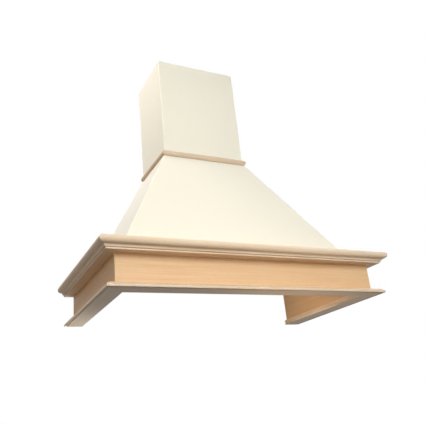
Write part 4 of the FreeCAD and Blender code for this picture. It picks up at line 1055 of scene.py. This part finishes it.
def area_lamp(name, place, aim, size, spread, power, colour):
    """A soft square lamp that looks at a point, with a grid that narrows its beam."""
    light = bpy.data.lights.new(name, "AREA")
    light.shape, light.size, light.spread = "SQUARE", size, math.radians(spread)
    light.energy, light.color = power, colour
    lamp = bpy.data.objects.new(name, light)
    lamp.location, lamp.visible_camera = place, False
    lamp.rotation_euler = (Vector(aim) - Vector(place)).to_track_quat("-Z", "Y").to_euler()
    bpy.context.scene.collection.objects.link(lamp)


class HOOD_OT_stage(bpy.types.Operator):
    """Camera, soft lamps, pale floor and white surroundings"""
    bl_idname = "hood.stage"
    bl_label = "Stage"

    def execute(self, context):
        stage, scene = settings("stage"), context.scene
        scene.view_settings.view_transform = "Standard"
        self.set_camera(stage, scene)
        for name, (place, aim, size, spread, colour) in LAMPS.items():
            area_lamp(f"{name}_lamp", place, aim, size, spread, getattr(stage, name), colour)
        self.set_world(stage, scene)
        self.lay_floor(stage)
        return {"FINISHED"}

    def set_camera(self, stage, scene):
        yaw, pitch, roll = stage.yaw, stage.pitch, stage.roll
        ahead = Vector((math.sin(yaw) * math.cos(pitch), math.cos(yaw) * math.cos(pitch), math.sin(pitch)))
        right = Vector((math.cos(yaw), -math.sin(yaw), 0))
        over = right.cross(ahead)
        across = right * math.cos(roll) + over * math.sin(roll)
        upright = over * math.cos(roll) - right * math.sin(roll)
        camera = bpy.data.objects.new("camera", bpy.data.cameras.new("camera"))
        camera.data.sensor_width, camera.data.lens = FILM_WIDTH, stage.lens
        camera.data.clip_start = 0.01
        turn = Matrix((across, upright, -ahead)).transposed().to_4x4()
        camera.matrix_world = Matrix.Translation(Vector(stage.camera_place)) @ turn
        scene.collection.objects.link(camera)
        scene.camera = camera

    def seen(self, tree):
        """One where the camera, a reflection or a look through glass meets the surroundings."""
        path = tree.nodes.new("ShaderNodeLightPath")
        seen = path.outputs["Is Camera Ray"]
        for ray in ("Is Glossy Ray", "Is Transmission Ray"):
            either = tree.nodes.new("ShaderNodeMath")
            either.operation = "MAXIMUM"
            tree.links.new(seen, either.inputs[0])
            tree.links.new(path.outputs[ray], either.inputs[1])
            seen = either.outputs[0]
        return seen

    def set_world(self, stage, scene):
        world = bpy.data.worlds.new("studio")
        world.use_nodes = True
        nodes, links = world.node_tree.nodes, world.node_tree.links
        background, tone = nodes["Background"], nodes.new("ShaderNodeMix")
        tone.data_type = "RGBA"
        links.new(self.seen(world.node_tree), tone.inputs[0])
        tone.inputs[6].default_value = (*(stage.ambient * tint for tint in AMBIENT_TINT), 1)
        tone.inputs[7].default_value = (1, 1, 1, 1)
        links.new(tone.outputs[2], background.inputs["Color"])
        scene.world = world

    def lay_floor(self, stage):
        bm = bmesh.new()
        bmesh.ops.create_grid(bm, x_segments=1, y_segments=1, size=16)
        bmesh.ops.translate(bm, verts=bm.verts[:], vec=Z * -stage.floor_drop)
        mesh = bpy.data.meshes.new("floor")
        bm.to_mesh(mesh)
        bm.free()
        finish = Finish("pale_floor")
        cloud = finish.noise(finish.mapped((1.5, 1.5, 1.5)), detail=2)
        grey = finish.mix(cloud, (0.56, 0.56, 0.56), (0.52, 0.52, 0.52))
        glow = finish.span(self.seen(finish.material.node_tree), 0.0, stage.floor_white)
        mesh.materials.append(finish.coat(Base_Color=grey, Roughness=0.9, Emission_Color=(1, 1, 1),
                                          Emission_Strength=glow))
        floor = bpy.data.objects.new("floor", mesh)
        bpy.context.scene.collection.objects.link(floor)


OPERATORS = (HOOD_OT_surround, HOOD_OT_trim, HOOD_OT_canopy, HOOD_OT_flue, HOOD_OT_outlet, HOOD_OT_blower,
             HOOD_OT_terminals, HOOD_OT_panel, HOOD_OT_filters, HOOD_OT_lamps, HOOD_OT_controls,
             HOOD_OT_screws, HOOD_OT_stage)
GROUPS = {"wood": WoodSettings, "sheet": SheetSettings, "plastic": PlasticSettings,
          "fitting": FittingSettings, "stage": StageSettings}


class HOOD_PT_sidebar(bpy.types.Panel):
    """Lists the pieces of the hood and their settings"""
    bl_idname = "HOOD_PT_sidebar"
    bl_label = "Range Hood"
    bl_space_type = "VIEW_3D"
    bl_region_type = "UI"
    bl_category = "Range Hood"

    def draw(self, context):
        for operator in OPERATORS:
            self.layout.operator(operator.bl_idname)
        for name, group in GROUPS.items():
            box = self.layout.box()
            box.label(text=name.capitalize())
            for setting in group.__annotations__:
                box.prop(getattr(context.scene, "hood_" + name), setting)


def register():
    for group in GROUPS.values():
        bpy.utils.register_class(group)
    for operator in OPERATORS:
        bpy.utils.register_class(operator)
    bpy.utils.register_class(HOOD_PT_sidebar)
    for name, group in GROUPS.items():
        setattr(bpy.types.Scene, "hood_" + name, PointerProperty(type=group))


def unregister():
    for name in GROUPS:
        delattr(bpy.types.Scene, "hood_" + name)
    for kind in (HOOD_PT_sidebar, *reversed(OPERATORS), *GROUPS.values()):
        bpy.utils.unregister_class(kind)


def main():
    register()
    for operator in OPERATORS:
        group, name = operator.bl_idname.split(".")
        getattr(getattr(bpy.ops, group), name)()


if __name__ == "__main__":
    main()
